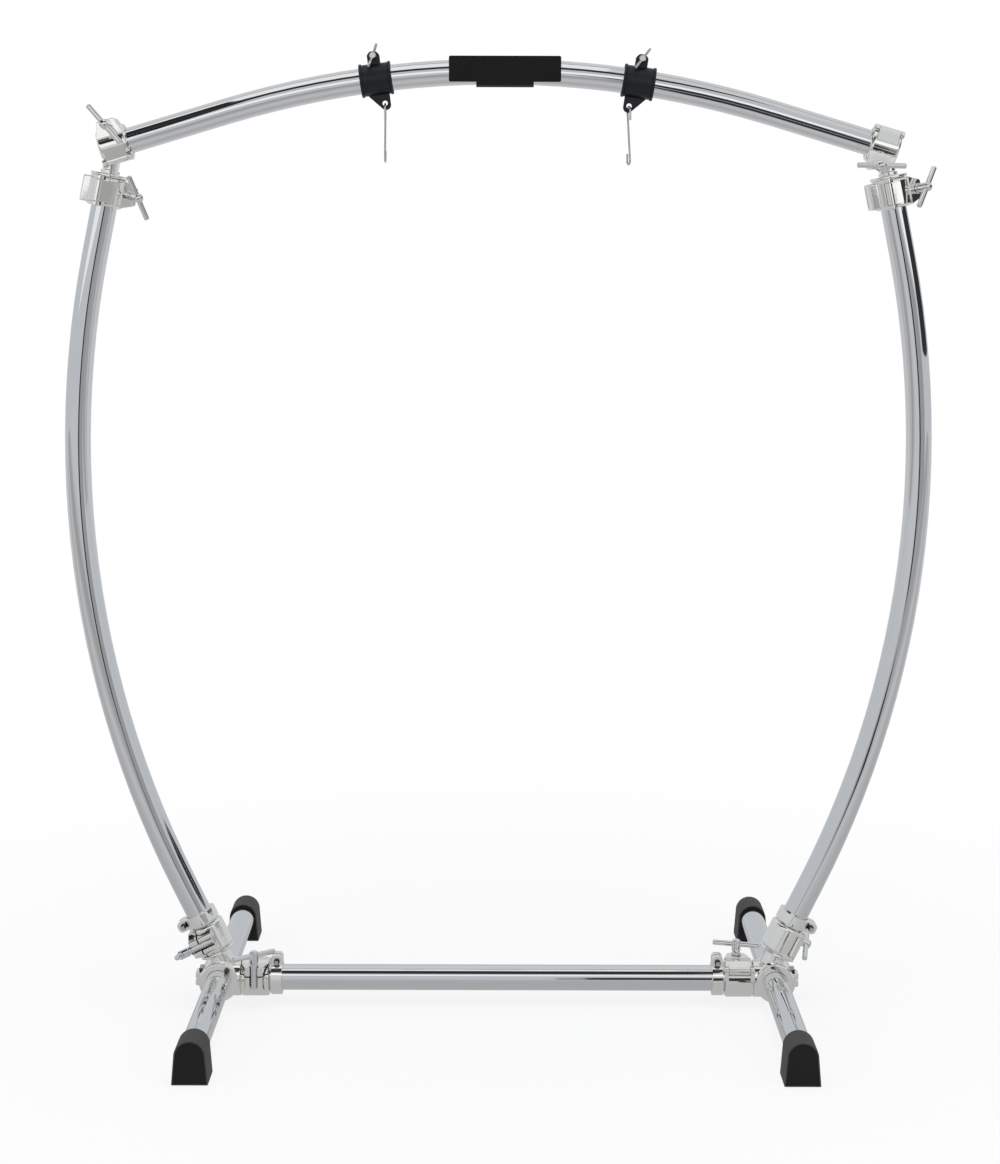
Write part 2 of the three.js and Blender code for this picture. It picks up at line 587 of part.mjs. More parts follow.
for (const [i, name] of ['left', 'right'].entries()) {
  const side = i === 0 ? -1 : 1;
  const uprightAxis = new BowedAxis(uprightBottom, uprightTop, (distance) => uprightPoint(side, distance));
  piece(`${name}_upright`, tubeAlong(uprightAxis, BEND_STEPS), 'chrome');
  const legX = side * LEG_X;
  const legEnds = [at(legX, -legEnd, AXIS_HEIGHT), at(legX, legEnd, AXIS_HEIGHT)];
  piece(`${name}_leg_tube`, straightTube(...legEnds), 'chrome');
  for (const [end, facing] of [['front', -1], ['rear', 1]]) {
    const inwardAlong = at(0, -facing, 0);
    const across = up.clone().cross(inwardAlong);
    const footAt = at(legX, facing * STAND_DEPTH / 2, 0);
    piece(`${end}_${name}_foot`, footShape, 'rubber', frame(footAt, across, up));
  }

  // Base corner: the right casting is the left one turned half round about the vertical
  const turned = new THREE.Matrix4().makeRotationZ(side > 0 ? Math.PI : 0);
  piece(`${name}_base_casting`, baseShape, 'castChrome', turned);
  clampPieces(`${name}_bar`, turned.clone().multiply(barSocket), BAR_ROD_TURN[i]);
  clampPieces(`${name}_upright_foot`, turned.clone().multiply(uprightSocket), FOOT_ROD_TURN[i]);
  const pinch = frame(at(side * PINCH_X, 0, AXIS_HEIGHT), up, back);
  piece(`${name}_leg_pinch_screw`, pinchScrewShape, 'steel', pinch);
  lockPieces(`${name}_bar`, frame(at(side * LOCK_X, 0, AXIS_HEIGHT), front, down));
  const low = at(side * Math.sin(LEAN_LOW), 0, Math.cos(LEAN_LOW));
  const inboard = at(-side * Math.cos(LEAN_LOW), 0, Math.sin(LEAN_LOW));
  const lockAt = at(side * LEG_CROSS_X, 0, AXIS_HEIGHT).addScaledVector(low, LOCK_S);
  lockPieces(`${name}_upright`, frame(lockAt, front, inboard));

  // Top corner: the lower clamp on the upright's end, the upper clamp on the bar
  const corner = at(side * CORNER_X, 0, cornerZ);
  const upright = at(-side * Math.sin(LEAN_HIGH), 0, Math.cos(LEAN_HIGH));
  const outward = at(Math.cos(LEAN_HIGH), 0, side * Math.sin(LEAN_HIGH));
  const turnCos = Math.cos(LOWER_CLAMP_TURN);
  const turnSin = Math.sin(LOWER_CLAMP_TURN);
  const screwWay = outward.clone().multiplyScalar(turnCos).addScaledVector(front, turnSin);
  const hingeWay = outward.clone().multiplyScalar(-turnSin).addScaledVector(front, turnCos);
  const lowerMiddle = corner.clone().addScaledVector(upright, -plateTop - PLATE_THICK - half);
  const lower = frame(lowerMiddle, screwWay, hingeWay);
  piece(`${name}_lower_clamp_body`, lowerBodyShape, 'castChrome', lower);
  clampPieces(`${name}_lower_clamp`, lower, LOWER_ROD_TURN[i]);
  const normal = at(side * Math.sin(TOP_SLOPE), 0, Math.cos(TOP_SLOPE));
  const upperHinge = normal.clone().multiplyScalar(side);
  const upper = frame(corner, front, upperHinge);
  piece(`${name}_upper_clamp_body`, upperClampBody(upper, corner, upright), 'castChrome', upper);
  clampPieces(`${name}_upper_clamp`, upper, UPPER_ROD_TURN[i]);
  piece(`${name}_swivel_post`, swivelShape, 'castChrome', frame(corner, back.clone().cross(upright), back));
}

// Hangers: a split collar that slides on the top bar, a wing screw and a wire hook each.
// The collar's frame: the bar along X, +Z away from the bend's centre
function hangerCollar(inside) {
  const across = (radius, from, to, sides) => round(radius, at(from, 0, 0), at(to, 0, 0), sides);
  const end = HANGER_WIDTH / 2;
  const sleeve = across(HANGER_RADIUS, -end, end, 20);
  const lip = (x) => across(HANGER_RADIUS + FLANGE_LIP, x, x + LIP_WIDTH, 20);
  const lips = [lip(-end), lip(end - LIP_WIDTH)];
  const earLow = [-PINCH_EAR_HALF, -PINCH_EAR_HALF, PINCH_EAR_START];
  const ears = block(earLow, [PINCH_EAR_HALF, PINCH_EAR_HALF, PINCH_EAR_REACH]);
  const slit = block([-FAR, -LOCK_SLOT, 0], [FAR, LOCK_SLOT, FAR]);
  const facing = HOOK_PLATE_OUTLINE.map(([x, z]) => [inside * x, z]);
  const plate = prism(inside > 0 ? facing : facing.reverse(), -HOOK_PLATE_HALF, HOOK_PLATE_HALF);
  const stood = moved(plate, new THREE.Matrix4().makeBasis(at(1, 0, 0), at(0, 0, 1), at(0, -1, 0)));
  const holeX = inside * HOOK_HOLE_IN;
  const holeEnds = [at(holeX, -FAR, -HOOK_HOLE_DOWN), at(holeX, FAR, -HOOK_HOLE_DOWN)];
  const hookHole = hole(HOOK_HOLE_RADIUS, ...holeEnds, 8);
  const bore = hole(HANGER_BORE, at(-FAR, 0, 0), at(FAR, 0, 0), TUBE_SIDES);
  const screwEnds = [at(0, -FAR, WING_SCREW_OFFSET), at(0, FAR, WING_SCREW_OFFSET)];
  const screwHole = hole(LOCK_SCREW_RADIUS + GAP, ...screwEnds, 8);
  return cut(join(sleeve, ...lips, ears, stood), bore, slit, hookHole, screwHole);
}

// Wing screw along -Y through its origin, wings upright
function wingScrew() {
  const face = PINCH_EAR_HALF + GAP;
  const shank = round(LOCK_SCREW_RADIUS, at(0, face + 1, 0), at(0, -face - 1, 0), 8);
  const nut = round(WING_NUT_RADIUS, at(0, face + WING_NUT_LENGTH, 0), at(0, face, 0), 6);
  const hub = round(WING_HUB_RADIUS, at(0, -face, 0), at(0, -face - WING_HUB, 0), 10, WING_HUB_TIP);
  const blades = [1, -1].map((way) => {
    const points = WING_OUTLINE.map(([z, y]) => [way * z, y]);
    const blade = prism(way > 0 ? points : points.reverse(), -WING_HALF_THICK, WING_HALF_THICK);
    const turn = new THREE.Matrix4().makeBasis(at(0, 0, 1), at(0, -1, 0), at(1, 0, 0));
    return moved(blade, turn.setPosition(0, -face, 0));
  });
  return join(shank, nut, hub, ...blades);
}

// Hook: the wire's top at the origin, its bends in the YZ plane
class HookAxis extends THREE.Curve {
  constructor() {
    super();
    const upper = at(0, 0, -HOOK_BEND);
    const lower = at(0, 0, -HOOK_HEIGHT + HOOK_BEND);
    const bendPoints = (centre, from, to) => [0, 1, 2, 3, 4, 5, 6, 7, 8].map((i) => {
      const angle = from + ((to - from) * i) / 8;
      return at(0, centre.y + HOOK_BEND * Math.cos(angle), centre.z + HOOK_BEND * Math.sin(angle));
    });
    this.points = [
      at(0, -HOOK_BEND, -UPPER_TAIL),
      ...bendPoints(upper, Math.PI, 0),
      ...bendPoints(lower, Math.PI, 2 * Math.PI),
      at(0, HOOK_BEND, -HOOK_HEIGHT + LOWER_TAIL + HOOK_BEND),
    ];
  }

  getPoint(t) {
    const place = t * (this.points.length - 1);
    const index = Math.min(Math.floor(place), this.points.length - 2);
    return this.points[index].clone().lerp(this.points[index + 1], place - index);
  }

  getSpacedPoints() {
    return this.points;
  }

  // Halfway between the directions of the two stretches that meet at a point
  getTangentAt(t) {
    const last = this.points.length - 1;
    const index = Math.round(t * last);
    const stretch = (start) => this.points[start + 1].clone().sub(this.points[start]).normalize();
    const before = stretch(Math.max(index - 1, 0));
    return before.add(stretch(Math.min(index, last - 1))).normalize();
  }
}

function wireHook() {
  const axis = new HookAxis();
  const section = new THREE.Shape(Array.from({ length: 8 }, (_, i) => {
    const angle = (Math.PI * (i + 0.5)) / 4;
    return new THREE.Vector2(WIRE_RADIUS * Math.cos(angle), WIRE_RADIUS * Math.sin(angle));
  }));
  const steps = axis.points.length - 1;
  return new THREE.ExtrudeGeometry(section, { extrudePath: axis, steps, bevelEnabled: false });
}

const wingShape = shell(wingScrew());
const hookShape = wireHook();

for (const [i, name] of ['left', 'right'].entries()) {
  const angle = Math.asin(HANGER_X[i] / TOP_BEND);
  const inside = -Math.sign(HANGER_X[i]);
  const lean = new THREE.Matrix4().makeRotationY(angle);
  lean.setPosition(topPoint(angle * TOP_BEND));
  piece(`${name}_hanger_collar`, hangerCollar(inside), 'plastic', lean);
  const wingTurn = new THREE.Matrix4().makeRotationY(THREE.MathUtils.degToRad(WING_TURN[i]) - angle);
  wingTurn.setPosition(0, 0, WING_SCREW_OFFSET);
  piece(`${name}_wing_screw`, wingShape, 'steel', lean.clone().multiply(wingTurn));
  const restZ = -HOOK_HOLE_DOWN - HOOK_HOLE_RADIUS + WIRE_RADIUS + HOOK_CLEARANCE;
  const rest = at(inside * HOOK_HOLE_IN, 0, restZ).applyMatrix4(lean);
  const yaw = new THREE.Matrix4().makeRotationZ(THREE.MathUtils.degToRad(HOOK_YAW[i]));
  piece(`${name}_hook`, hookShape, 'steel', yaw.setPosition(rest));
}

// Badge: a blank plate in front of the bar, held by a clip that grips the tube from below
function badge() {
  const ends = [at(BADGE_X - CLIP_LENGTH / 2, 0, TOP_Z), at(BADGE_X + CLIP_LENGTH / 2, 0, TOP_Z)];
  const openLow = [-FAR, CLIP_OPEN_FROM[0], TOP_Z + CLIP_OPEN_FROM[1]];
  const opening = block(openLow, [FAR, FAR, TOP_Z + FAR]);
  const clip = cut(round(CLIP_RADIUS, ...ends, 24), opening);
  const plateLow = [BADGE_X - BADGE_WIDTH / 2, BADGE_FRONT, BADGE_LOW];
  const plateHigh = [BADGE_X + BADGE_WIDTH / 2, BADGE_FRONT + BADGE_THICK, BADGE_HIGH];
  const plate = block(plateLow, plateHigh);
  const bridge = block(
    [ends[0].x, BADGE_FRONT + 1, TOP_Z - BRIDGE_HALF],
    [ends[1].x, -CLIP_BORE, TOP_Z + BRIDGE_HALF],
  );
  const bore = hole(CLIP_BORE, at(-FAR, 0, TOP_Z), at(FAR, 0, TOP_Z), TUBE_SIDES);
  return cut(join(clip, plate, bridge), bore);
}

piece('badge', badge(), 'plastic');

export default stand;
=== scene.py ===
from math import acos, asin, atan2, ceil, cos, degrees, pi, radians, sin, tan

import bmesh
import bpy
from mathutils import Matrix, Vector


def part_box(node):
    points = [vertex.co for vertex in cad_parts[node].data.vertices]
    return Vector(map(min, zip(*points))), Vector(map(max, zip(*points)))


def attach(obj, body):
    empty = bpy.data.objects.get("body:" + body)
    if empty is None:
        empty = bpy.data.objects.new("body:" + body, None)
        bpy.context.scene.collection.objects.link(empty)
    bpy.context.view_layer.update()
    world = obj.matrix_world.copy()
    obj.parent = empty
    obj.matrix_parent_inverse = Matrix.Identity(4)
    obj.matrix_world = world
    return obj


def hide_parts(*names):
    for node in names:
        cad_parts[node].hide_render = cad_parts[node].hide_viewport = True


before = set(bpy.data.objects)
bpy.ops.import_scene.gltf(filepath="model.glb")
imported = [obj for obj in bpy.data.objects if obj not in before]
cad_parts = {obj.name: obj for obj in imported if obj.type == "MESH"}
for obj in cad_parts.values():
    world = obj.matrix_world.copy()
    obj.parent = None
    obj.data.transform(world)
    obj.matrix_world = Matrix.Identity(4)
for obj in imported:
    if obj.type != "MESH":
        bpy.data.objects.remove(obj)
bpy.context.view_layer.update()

# Frame tubes: 38.1 mm steel tube with a 2 mm wall, polished and chrome plated. The bottom
# bar and the legs are straight, and the uprights and the top bar are bent on one radius
# each, with straight ends that go into the clamps.
TUBE_RADIUS = 0.01905
TUBE_BORE = 0.01705
TUBE_SIDES = 72
BEND_STEP = 1.5
FEWEST_STEPS = 8
SMOOTH_BELOW = radians(40)
NEAR_END = 1.1 * TUBE_RADIUS
AXIS_HEIGHT = 0.038
LEG_X = 0.421
LEAN_LOW = radians(26.2)
LEAN_HIGH = radians(11.3)
UPRIGHT_BEND = 1.495
WIDEST = Vector((0.6294, 0, 0.844))
TOP_BEND = 1.4
TOP_HEIGHT = 1.407
TOP_SLOPE = radians(16.8)
ALONG_Y = Vector((0, 1, 0))


def swept(radius, sides, start, way, axis, runs):
    """A round section carried along straight runs and bends, left open at both ends"""
    bm = bmesh.new()
    way = Vector(way).normalized()
    place = Vector(start)
    facing = way.to_track_quat("Z", "Y").to_matrix().to_4x4()
    first = Matrix.Translation(place) @ facing
    bmesh.ops.create_circle(bm, segments=sides, radius=radius, matrix=first)
    edges = bm.edges[:]
    for length, bend in runs:
        if bend is None:
            grown = bmesh.ops.extrude_edge_only(bm, edges=edges)["geom"]
            moved = [g for g in grown if isinstance(g, bmesh.types.BMVert)]
            bmesh.ops.translate(bm, verts=moved, vec=way * length)
            place += way * length
        else:
            angle = length / bend
            centre = place - bend * way.cross(axis)
            verts = list({v for e in edges for v in e.verts})
            steps = max(FEWEST_STEPS, ceil(abs(degrees(angle)) / BEND_STEP))
            grown = bmesh.ops.spin(bm, geom=verts + edges, cent=centre, axis=axis,
                                   angle=angle, steps=steps)["geom_last"]
            spun = Matrix.Rotation(angle, 3, axis)
            place = centre + spun @ (place - centre)
            way = spun @ way
        edges = [g for g in grown if isinstance(g, bmesh.types.BMEdge)]
    return bm


def combined(*parts):
    """One bmesh of several, each given alone or with its place"""
    whole = bmesh.new()
    for part in parts:
        bm, place = part if isinstance(part, tuple) else (part, Matrix())
        bm.transform(place)
        bmesh.ops.recalc_face_normals(bm, faces=bm.faces)
        mesh = bpy.data.meshes.new("part")
        bm.to_mesh(mesh)
        bm.free()
        whole.from_mesh(mesh)
        bpy.data.meshes.remove(mesh)
    return whole


def tube(start, way, axis, runs):
    """An outer and an inner wall, joined by a ring at each end"""
    walls = [swept(radius, TUBE_SIDES, start, way, axis, runs) for radius in (TUBE_RADIUS, TUBE_BORE)]
    bm = combined(*walls)
    ends = [e for e in bm.edges if e.is_boundary]
    near = [e for e in ends if (e.verts[0].co - Vector(start)).length < NEAR_END]
    bmesh.ops.bridge_loops(bm, edges=near)
    bmesh.ops.bridge_loops(bm, edges=[e for e in ends if e not in near])
    bmesh.ops.recalc_face_normals(bm, faces=bm.faces)
    return bm


def add_piece(node, body, bm, material, place=Matrix()):
    """A finished mesh in place of one CAD node, on that node's body"""
    bm.transform(place)
    mesh = bpy.data.meshes.new(node)
    bm.to_mesh(mesh)
    bm.free()
    mesh.shade_smooth()
    mesh.set_sharp_from_angle(angle=SMOOTH_BELOW)
    piece = bpy.data.objects.new(f"{node}_look", mesh)
    bpy.context.scene.collection.objects.link(piece)
    for finish in material if isinstance(material, list) else [material]:
        mesh.materials.append(finish)
    piece.modifiers.new("Flat faces", "WEIGHTED_NORMAL").keep_sharp = True
    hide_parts(node)
    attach(piece, body)
    return piece


def socket_group(name, inputs, outputs):
    """An empty node group with named inputs and outputs"""
    group = bpy.data.node_groups.new(name, "ShaderNodeTree")
    for label, kind, value in inputs:
        group.interface.new_socket(label, in_out="INPUT", socket_type=kind).default_value = value
    for label, kind in outputs:
        group.interface.new_socket(label, in_out="OUTPUT", socket_type=kind)
    return group, group.nodes.new("NodeGroupInput"), group.nodes.new("NodeGroupOutput")


# Handling marks: faint smears that roughen a bright surface here and there
handling, given, result = socket_group(
    "Handling marks",
    [("Vector", "NodeSocketVector", (0, 0, 0)), ("Clean", "NodeSocketFloat", 0.03),
     ("Smeared", "NodeSocketFloat", 0.1), ("Scale", "NodeSocketFloat", 6.0)],
    [("Roughness", "NodeSocketFloat")],
)
clouds = handling.nodes.new("ShaderNodeTexNoise")
clouds.inputs["Detail"].default_value = 5
clouds.inputs["Roughness"].default_value = 0.6
spread = handling.nodes.new("ShaderNodeMapRange")
spread.inputs["From Min"].default_value = 0.5
spread.inputs["From Max"].default_value = 0.75
handling.links.new(given.outputs["Vector"], clouds.inputs["Vector"])
handling.links.new(given.outputs["Scale"], clouds.inputs["Scale"])
handling.links.new(clouds.outputs["Fac"], spread.inputs["Value"])
handling.links.new(given.outputs["Clean"], spread.inputs["To Min"])
handling.links.new(given.outputs["Smeared"], spread.inputs["To Max"])
handling.links.new(spread.outputs["Result"], result.inputs["Roughness"])


def plated(name, colour, clean, smeared, scale, wobble):
    """Plated metal: handling marks over it and, on castings, a slow ripple in its surface"""
    material = bpy.data.materials.new(name)
    material.use_nodes = True
    nodes, links = material.node_tree.nodes, material.node_tree.links
    shader = nodes["Principled BSDF"]
    shader.inputs["Base Color"].default_value = (*colour, 1)
    shader.inputs["Metallic"].default_value = 1
    place = nodes.new("ShaderNodeTexCoord")
    marks = nodes.new("ShaderNodeGroup")
    marks.node_tree = handling
    marks.inputs["Clean"].default_value = clean
    marks.inputs["Smeared"].default_value = smeared
    marks.inputs["Scale"].default_value = scale
    links.new(place.outputs["Object"], marks.inputs["Vector"])
    links.new(marks.outputs["Roughness"], shader.inputs["Roughness"])
    if wobble:
        ripple = nodes.new("ShaderNodeTexNoise")
        ripple.inputs["Scale"].default_value = 70
        ripple.inputs["Detail"].default_value = 2
        bump = nodes.new("ShaderNodeBump")
        bump.inputs["Strength"].default_value = wobble
        bump.inputs["Distance"].default_value = 0.002
        links.new(place.outputs["Object"], ripple.inputs["Vector"])
        links.new(ripple.outputs["Fac"], bump.inputs["Height"])
        links.new(bump.outputs["Normal"], shader.inputs["Normal"])
    return material


tube_chrome = plated("Tube chrome", (0.79, 0.8, 0.81), 0.035, 0.09, 5, 0)

bar_low, bar_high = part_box("bottom_bar")
bar_start = Vector((bar_low.x, 0, AXIS_HEIGHT))
bar = tube(bar_start, (1, 0, 0), ALONG_Y, [(bar_high.x - bar_low.x, None)])
add_piece("bottom_bar", "stand", bar, tube_chrome)

top_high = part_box("top_bar")[1]
bend_x = TOP_BEND * sin(TOP_SLOPE)
end_x = top_high.x - TUBE_RADIUS * sin(TOP_SLOPE)
straight = (end_x - bend_x) / cos(TOP_SLOPE)
end_z = TOP_HEIGHT - TOP_BEND * (1 - cos(TOP_SLOPE)) - straight * sin(TOP_SLOPE)
slope_up = Vector((cos(TOP_SLOPE), 0, sin(TOP_SLOPE)))
top_runs = [(straight, None), (2 * TOP_SLOPE * TOP_BEND, TOP_BEND), (straight, None)]
top_bar = tube((-end_x, 0, end_z), slope_up, ALONG_Y, top_runs)
add_piece("top_bar", "stand", top_bar, tube_chrome)

for name, side in (("left", -1), ("right", 1)):
    low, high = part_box(f"{name}_leg_tube")
    leg = tube((side * LEG_X, low.y, AXIS_HEIGHT), (0, 1, 0), (1, 0, 0), [(high.y - low.y, None)])
    add_piece(f"{name}_leg_tube", "stand", leg, tube_chrome)

    low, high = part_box(f"{name}_upright")
    foot_z = low.z + TUBE_RADIUS * sin(LEAN_LOW)
    head_z = high.z - TUBE_RADIUS * sin(LEAN_HIGH)
    low_run = (WIDEST.z - UPRIGHT_BEND * sin(LEAN_LOW) - foot_z) / cos(LEAN_LOW)
    high_run = (head_z - WIDEST.z - UPRIGHT_BEND * sin(LEAN_HIGH)) / cos(LEAN_HIGH)
    foot_x = WIDEST.x - UPRIGHT_BEND * (1 - cos(LEAN_LOW)) - low_run * sin(LEAN_LOW)
    leaning = Vector((side * sin(LEAN_LOW), 0, cos(LEAN_LOW)))
    arc = ((LEAN_LOW + LEAN_HIGH) * UPRIGHT_BEND, -side * UPRIGHT_BEND)
    upright = tube((side * foot_x, 0, foot_z), leaning, ALONG_Y, [(low_run, None), arc, (high_run, None)])
    add_piece(f"{name}_upright", "stand", upright, tube_chrome)

# Base castings: one piece each, chrome plated, with a hub round the leg, a pinch lug on its
# outer side, and two half sockets whose hinged jaws close on the bottom bar and the upright.
# They are cast, so their edges are rounded and their faces are a little wavy.
CLAMP_RADIUS = 0.0275
CLAMP_BORE = 0.01945
CLAMP_HALF = 0.0225
SPLIT = 0.0112
SHARP_ANGLE = radians(50)
SMALL_EDGE = 0.0006
SLIGHT_EDGE = 0.0007
OVERLAP = 0.0006
CLOSE = 1e-5
HINGE = (0.018, 0.023)
HINGE_ROOT_X = 0.004
HINGE_ROOT_Y = 0.0202
KNUCKLE_RADIUS = 0.0055
KNUCKLE_FROM = 0.0165
KNUCKLE_EDGE = 0.0008
EAR_BACK = -0.012
EAR_ROOT_Y = -0.012
EAR_TIP_Y = -0.0375
EAR_ROOT_HALF = 0.021
EAR_TIP_HALF = 0.013
EAR_CORNER = 0.0035
EAR_EDGE = 0.0012
SCREW_OFFSET = 0.030
SCREW_SLOT = 0.006
SOFT_END = 0.0055
LEG_CROSS_X = 0.4047
LEG_HUB_HALF = 0.028
LEG_HUB_RADIUS = 0.030
LEG_HUB_EDGE = 0.003
WEB_START = 0.0245
WEB_END = 0.046
WEB_RADIUS = 0.017
CAP_THICK = 0.004
BAR_SOCKET_X = 0.367
BAR_WEB_X = 0.415
BAR_WEB_LENGTH = 0.0262
UPRIGHT_SOCKET_START = 0.048
PINCH_LUG_X = 0.430
PINCH_LUG_REACH = 0.028
PINCH_LUG_HALF = 0.012
PINCH_LUG_THICK = 0.0088
PINCH_LUG_HEIGHTS = (-0.010, 0.0012)
PINCH_LUG_EDGE = 0.0012
PINCH_LUG_CORNER = 0.004

cast_chrome = plated("Cast chrome", (0.95, 0.935, 0.905), 0.07, 0.16, 14, 0.05)


def arc_points(centre, radius, start, end, count):
    """Points along an arc, from one angle to another in degrees"""
    angles = [radians(start + (end - start) * i / count) for i in range(count + 1)]
    return [(centre[0] + radius * cos(a), centre[1] + radius * sin(a)) for a in angles]


def rounded(bm, edges, offset, segments, clamp=True):
    """Rounds some edges of a mesh"""
    bmesh.ops.bevel(bm, geom=edges, offset=offset, affect="EDGES", segments=segments, profile=0.5,
                    material=-1, clamp_overlap=clamp)


def pressed(outline, low, high, edge, corner=0.0, holes=(), segments=3):
    """An outline raised from one height to another, its corners and then its edges rounded"""
    bm = bmesh.new()
    for loop in (outline, *holes):
        verts = [bm.verts.new((x, y, low)) for x, y in loop]
        for one, other in zip(verts, verts[1:] + verts[:1]):
            bm.edges.new((one, other))
    if holes:
        bmesh.ops.triangle_fill(bm, edges=bm.edges, use_beauty=True)
    else:
        bm.faces.new(bm.verts)
    if corner:
        bmesh.ops.bevel(bm, geom=bm.verts, offset=corner, affect="VERTICES", segments=6,
                        profile=0.5, material=-1)
    raised = bmesh.ops.extrude_face_region(bm, geom=bm.faces)["geom"]
    lifted = [g for g in raised if isinstance(g, bmesh.types.BMVert)]
    bmesh.ops.translate(bm, verts=lifted, vec=(0, 0, high - low))
    bmesh.ops.recalc_face_normals(bm, faces=bm.faces)
    if edge:
        rounded(bm, [e for e in bm.edges if e.calc_face_angle(0) > SHARP_ANGLE], edge, segments)
    return bm


def block(low, high, depths, edge, corner=0.0):
    """A rectangle between two opposite corners, pressed over a range of depths"""
    outline = [low, (high[0], low[1]), high, (low[0], high[1])]
    return pressed(outline, *depths, edge, corner=corner)


def turned(outline, steps=56):
    """An outline of (distance along the axis, radius) points spun once round the X axis"""
    bm = bmesh.new()
    verts = [bm.verts.new((x, radius, 0)) for x, radius in outline]
    edges = [bm.edges.new(pair) for pair in zip(verts, verts[1:])]
    bmesh.ops.spin(bm, geom=verts + edges, cent=(0, 0, 0), axis=(1, 0, 0), angle=2 * pi,
                   steps=steps, use_merge=True)
    bmesh.ops.remove_doubles(bm, verts=bm.verts, dist=1e-6)
    bmesh.ops.dissolve_degenerate(bm, edges=bm.edges, dist=1e-6)
    bmesh.ops.recalc_face_normals(bm, faces=bm.faces)
    return bm


def rims(start, end, radius, edge):
    """The two rounded rims of a turned piece, as points from its start to its end"""
    steps = [radians(angle) for angle in (0, 30, 60, 90)]
    inset = [(edge * (1 - sin(a)), edge * (1 - cos(a))) for a in steps]
    near = [(start + inward, radius - below) for inward, below in reversed(inset)]
    return near + [(end - inward, radius - below) for inward, below in inset]


def rod_outline(start, end, radius, edge):
    """The outline of a solid round bar with rounded rims"""
    return [(start, 0), *rims(start, end, radius, edge), (end, 0)]


def ring_outline(start, end, radius, bore, edge):
    """The outline of a round sleeve with rounded outer rims"""
    return [(start, bore), *rims(start, end, radius, edge), (end, bore), (start, bore)]


def placed(origin, x_way, y_way):
    """The place of a piece from its origin and its first two directions"""
    x_way, y_way = Vector(x_way), Vector(y_way)
    turn = Matrix((x_way, y_way, x_way.cross(y_way))).transposed()
    return Matrix.Translation(origin) @ turn.to_4x4()


def ear(start, end, slot):
    """One of the two ears of a clamp, narrow at its tip, with an open slot for the T screw"""
    slant = atan2(EAR_ROOT_HALF - EAR_TIP_HALF, EAR_ROOT_Y - EAR_TIP_Y)
    corner_y = EAR_TIP_Y + EAR_CORNER
    corner_z = EAR_TIP_HALF - EAR_CORNER * (1 - sin(slant)) / cos(slant)
    turn = 90 + degrees(slant)
    outline = arc_points((corner_y, -corner_z), EAR_CORNER, -turn, -180, 6)
    outline += [(EAR_TIP_Y, -slot), *arc_points((-SCREW_OFFSET, 0), slot, -90, 90, 12), (EAR_TIP_Y, slot)]
    outline += arc_points((corner_y, corner_z), EAR_CORNER, 180, turn, 6)
    outline += [(EAR_ROOT_Y, EAR_ROOT_HALF), (EAR_ROOT_Y, -EAR_ROOT_HALF)]
    return pressed(outline, start, end, EAR_EDGE), placed((0, 0, 0), (0, 1, 0), (0, 0, 1))


def soften(bm, offset, segments, chosen):
    """Rounds the sharp edges whose middles pass a test, then every other sharp edge a little"""
    sharp = [e for e in bm.edges if e.calc_face_angle(0) > SHARP_ANGLE]
    wide = [e for e in sharp if chosen((e.verts[0].co + e.verts[1].co) / 2)]
    rounded(bm, wide, offset, segments, clamp=False)
    sharp = [e for e in bm.edges if e.calc_face_angle(0) > SHARP_ANGLE]
    rounded(bm, sharp, SLIGHT_EDGE, 2)
    return bm


def half_ring(section, half, soft):
    """One half of a clamp's ring, its outer rims well rounded"""
    outside = CLAMP_RADIUS - 0.001
    bm = pressed(section, -half, half, 0)
    return soften(bm, soft, 5, lambda at: abs(at.z) > half - CLOSE and at.xy.length > outside)


def split_angles(split):
    """Where a flat split meets the clamp's outer wall and its bore, in degrees from the X axis"""
    return degrees(acos(split / CLAMP_RADIUS)), degrees(acos(split / CLAMP_BORE))


def half_socket():
    """The fixed half of a hinged clamp: its tube along Z, its split facing +X, its ears at -Y"""
    outer, inner = split_angles(SPLIT)
    section = arc_points((0, 0), CLAMP_RADIUS, outer, 360 - outer, 44)
    section += arc_points((0, 0), CLAMP_BORE, 360 - inner, inner, 36)
    lug = [(HINGE_ROOT_X, HINGE_ROOT_Y), *arc_points(HINGE, KNUCKLE_RADIUS, -90, 90, 14)]
    lug.append((HINGE_ROOT_X, HINGE[1] + KNUCKLE_RADIUS))
    length = CLAMP_HALF - KNUCKLE_FROM
    knuckles = [pressed(lug, low, low + length, KNUCKLE_EDGE) for low in (-CLAMP_HALF, KNUCKLE_FROM)]
    ring = half_ring(section, CLAMP_HALF, SOFT_END)
    return combined(ring, ear(EAR_BACK, SPLIT, SCREW_SLOT), *knuckles)


def along(axis_from, axis_to):
    """The place that turns the X axis onto a line"""
    way = (Vector(axis_to) - Vector(axis_from)).normalized()
    turn = Vector((1, 0, 0)).rotation_difference(way)
    return Matrix.Translation(axis_from) @ turn.to_matrix().to_4x4()


up, down = Vector((0, 0, 1)), Vector((0, 0, -1))
front, back = Vector((0, -1, 0)), Vector((0, 1, 0))
leg_cross = Vector((-LEG_CROSS_X, 0, AXIS_HEIGHT))
left_lean = Vector((-sin(LEAN_LOW), 0, cos(LEAN_LOW)))
left_down = Vector((-cos(LEAN_LOW), 0, -sin(LEAN_LOW)))
bar_socket = placed((-BAR_SOCKET_X, 0, AXIS_HEIGHT), up, back)
upright_socket = placed(leg_cross + left_lean * (UPRIGHT_SOCKET_START + CLAMP_HALF), left_down, back)


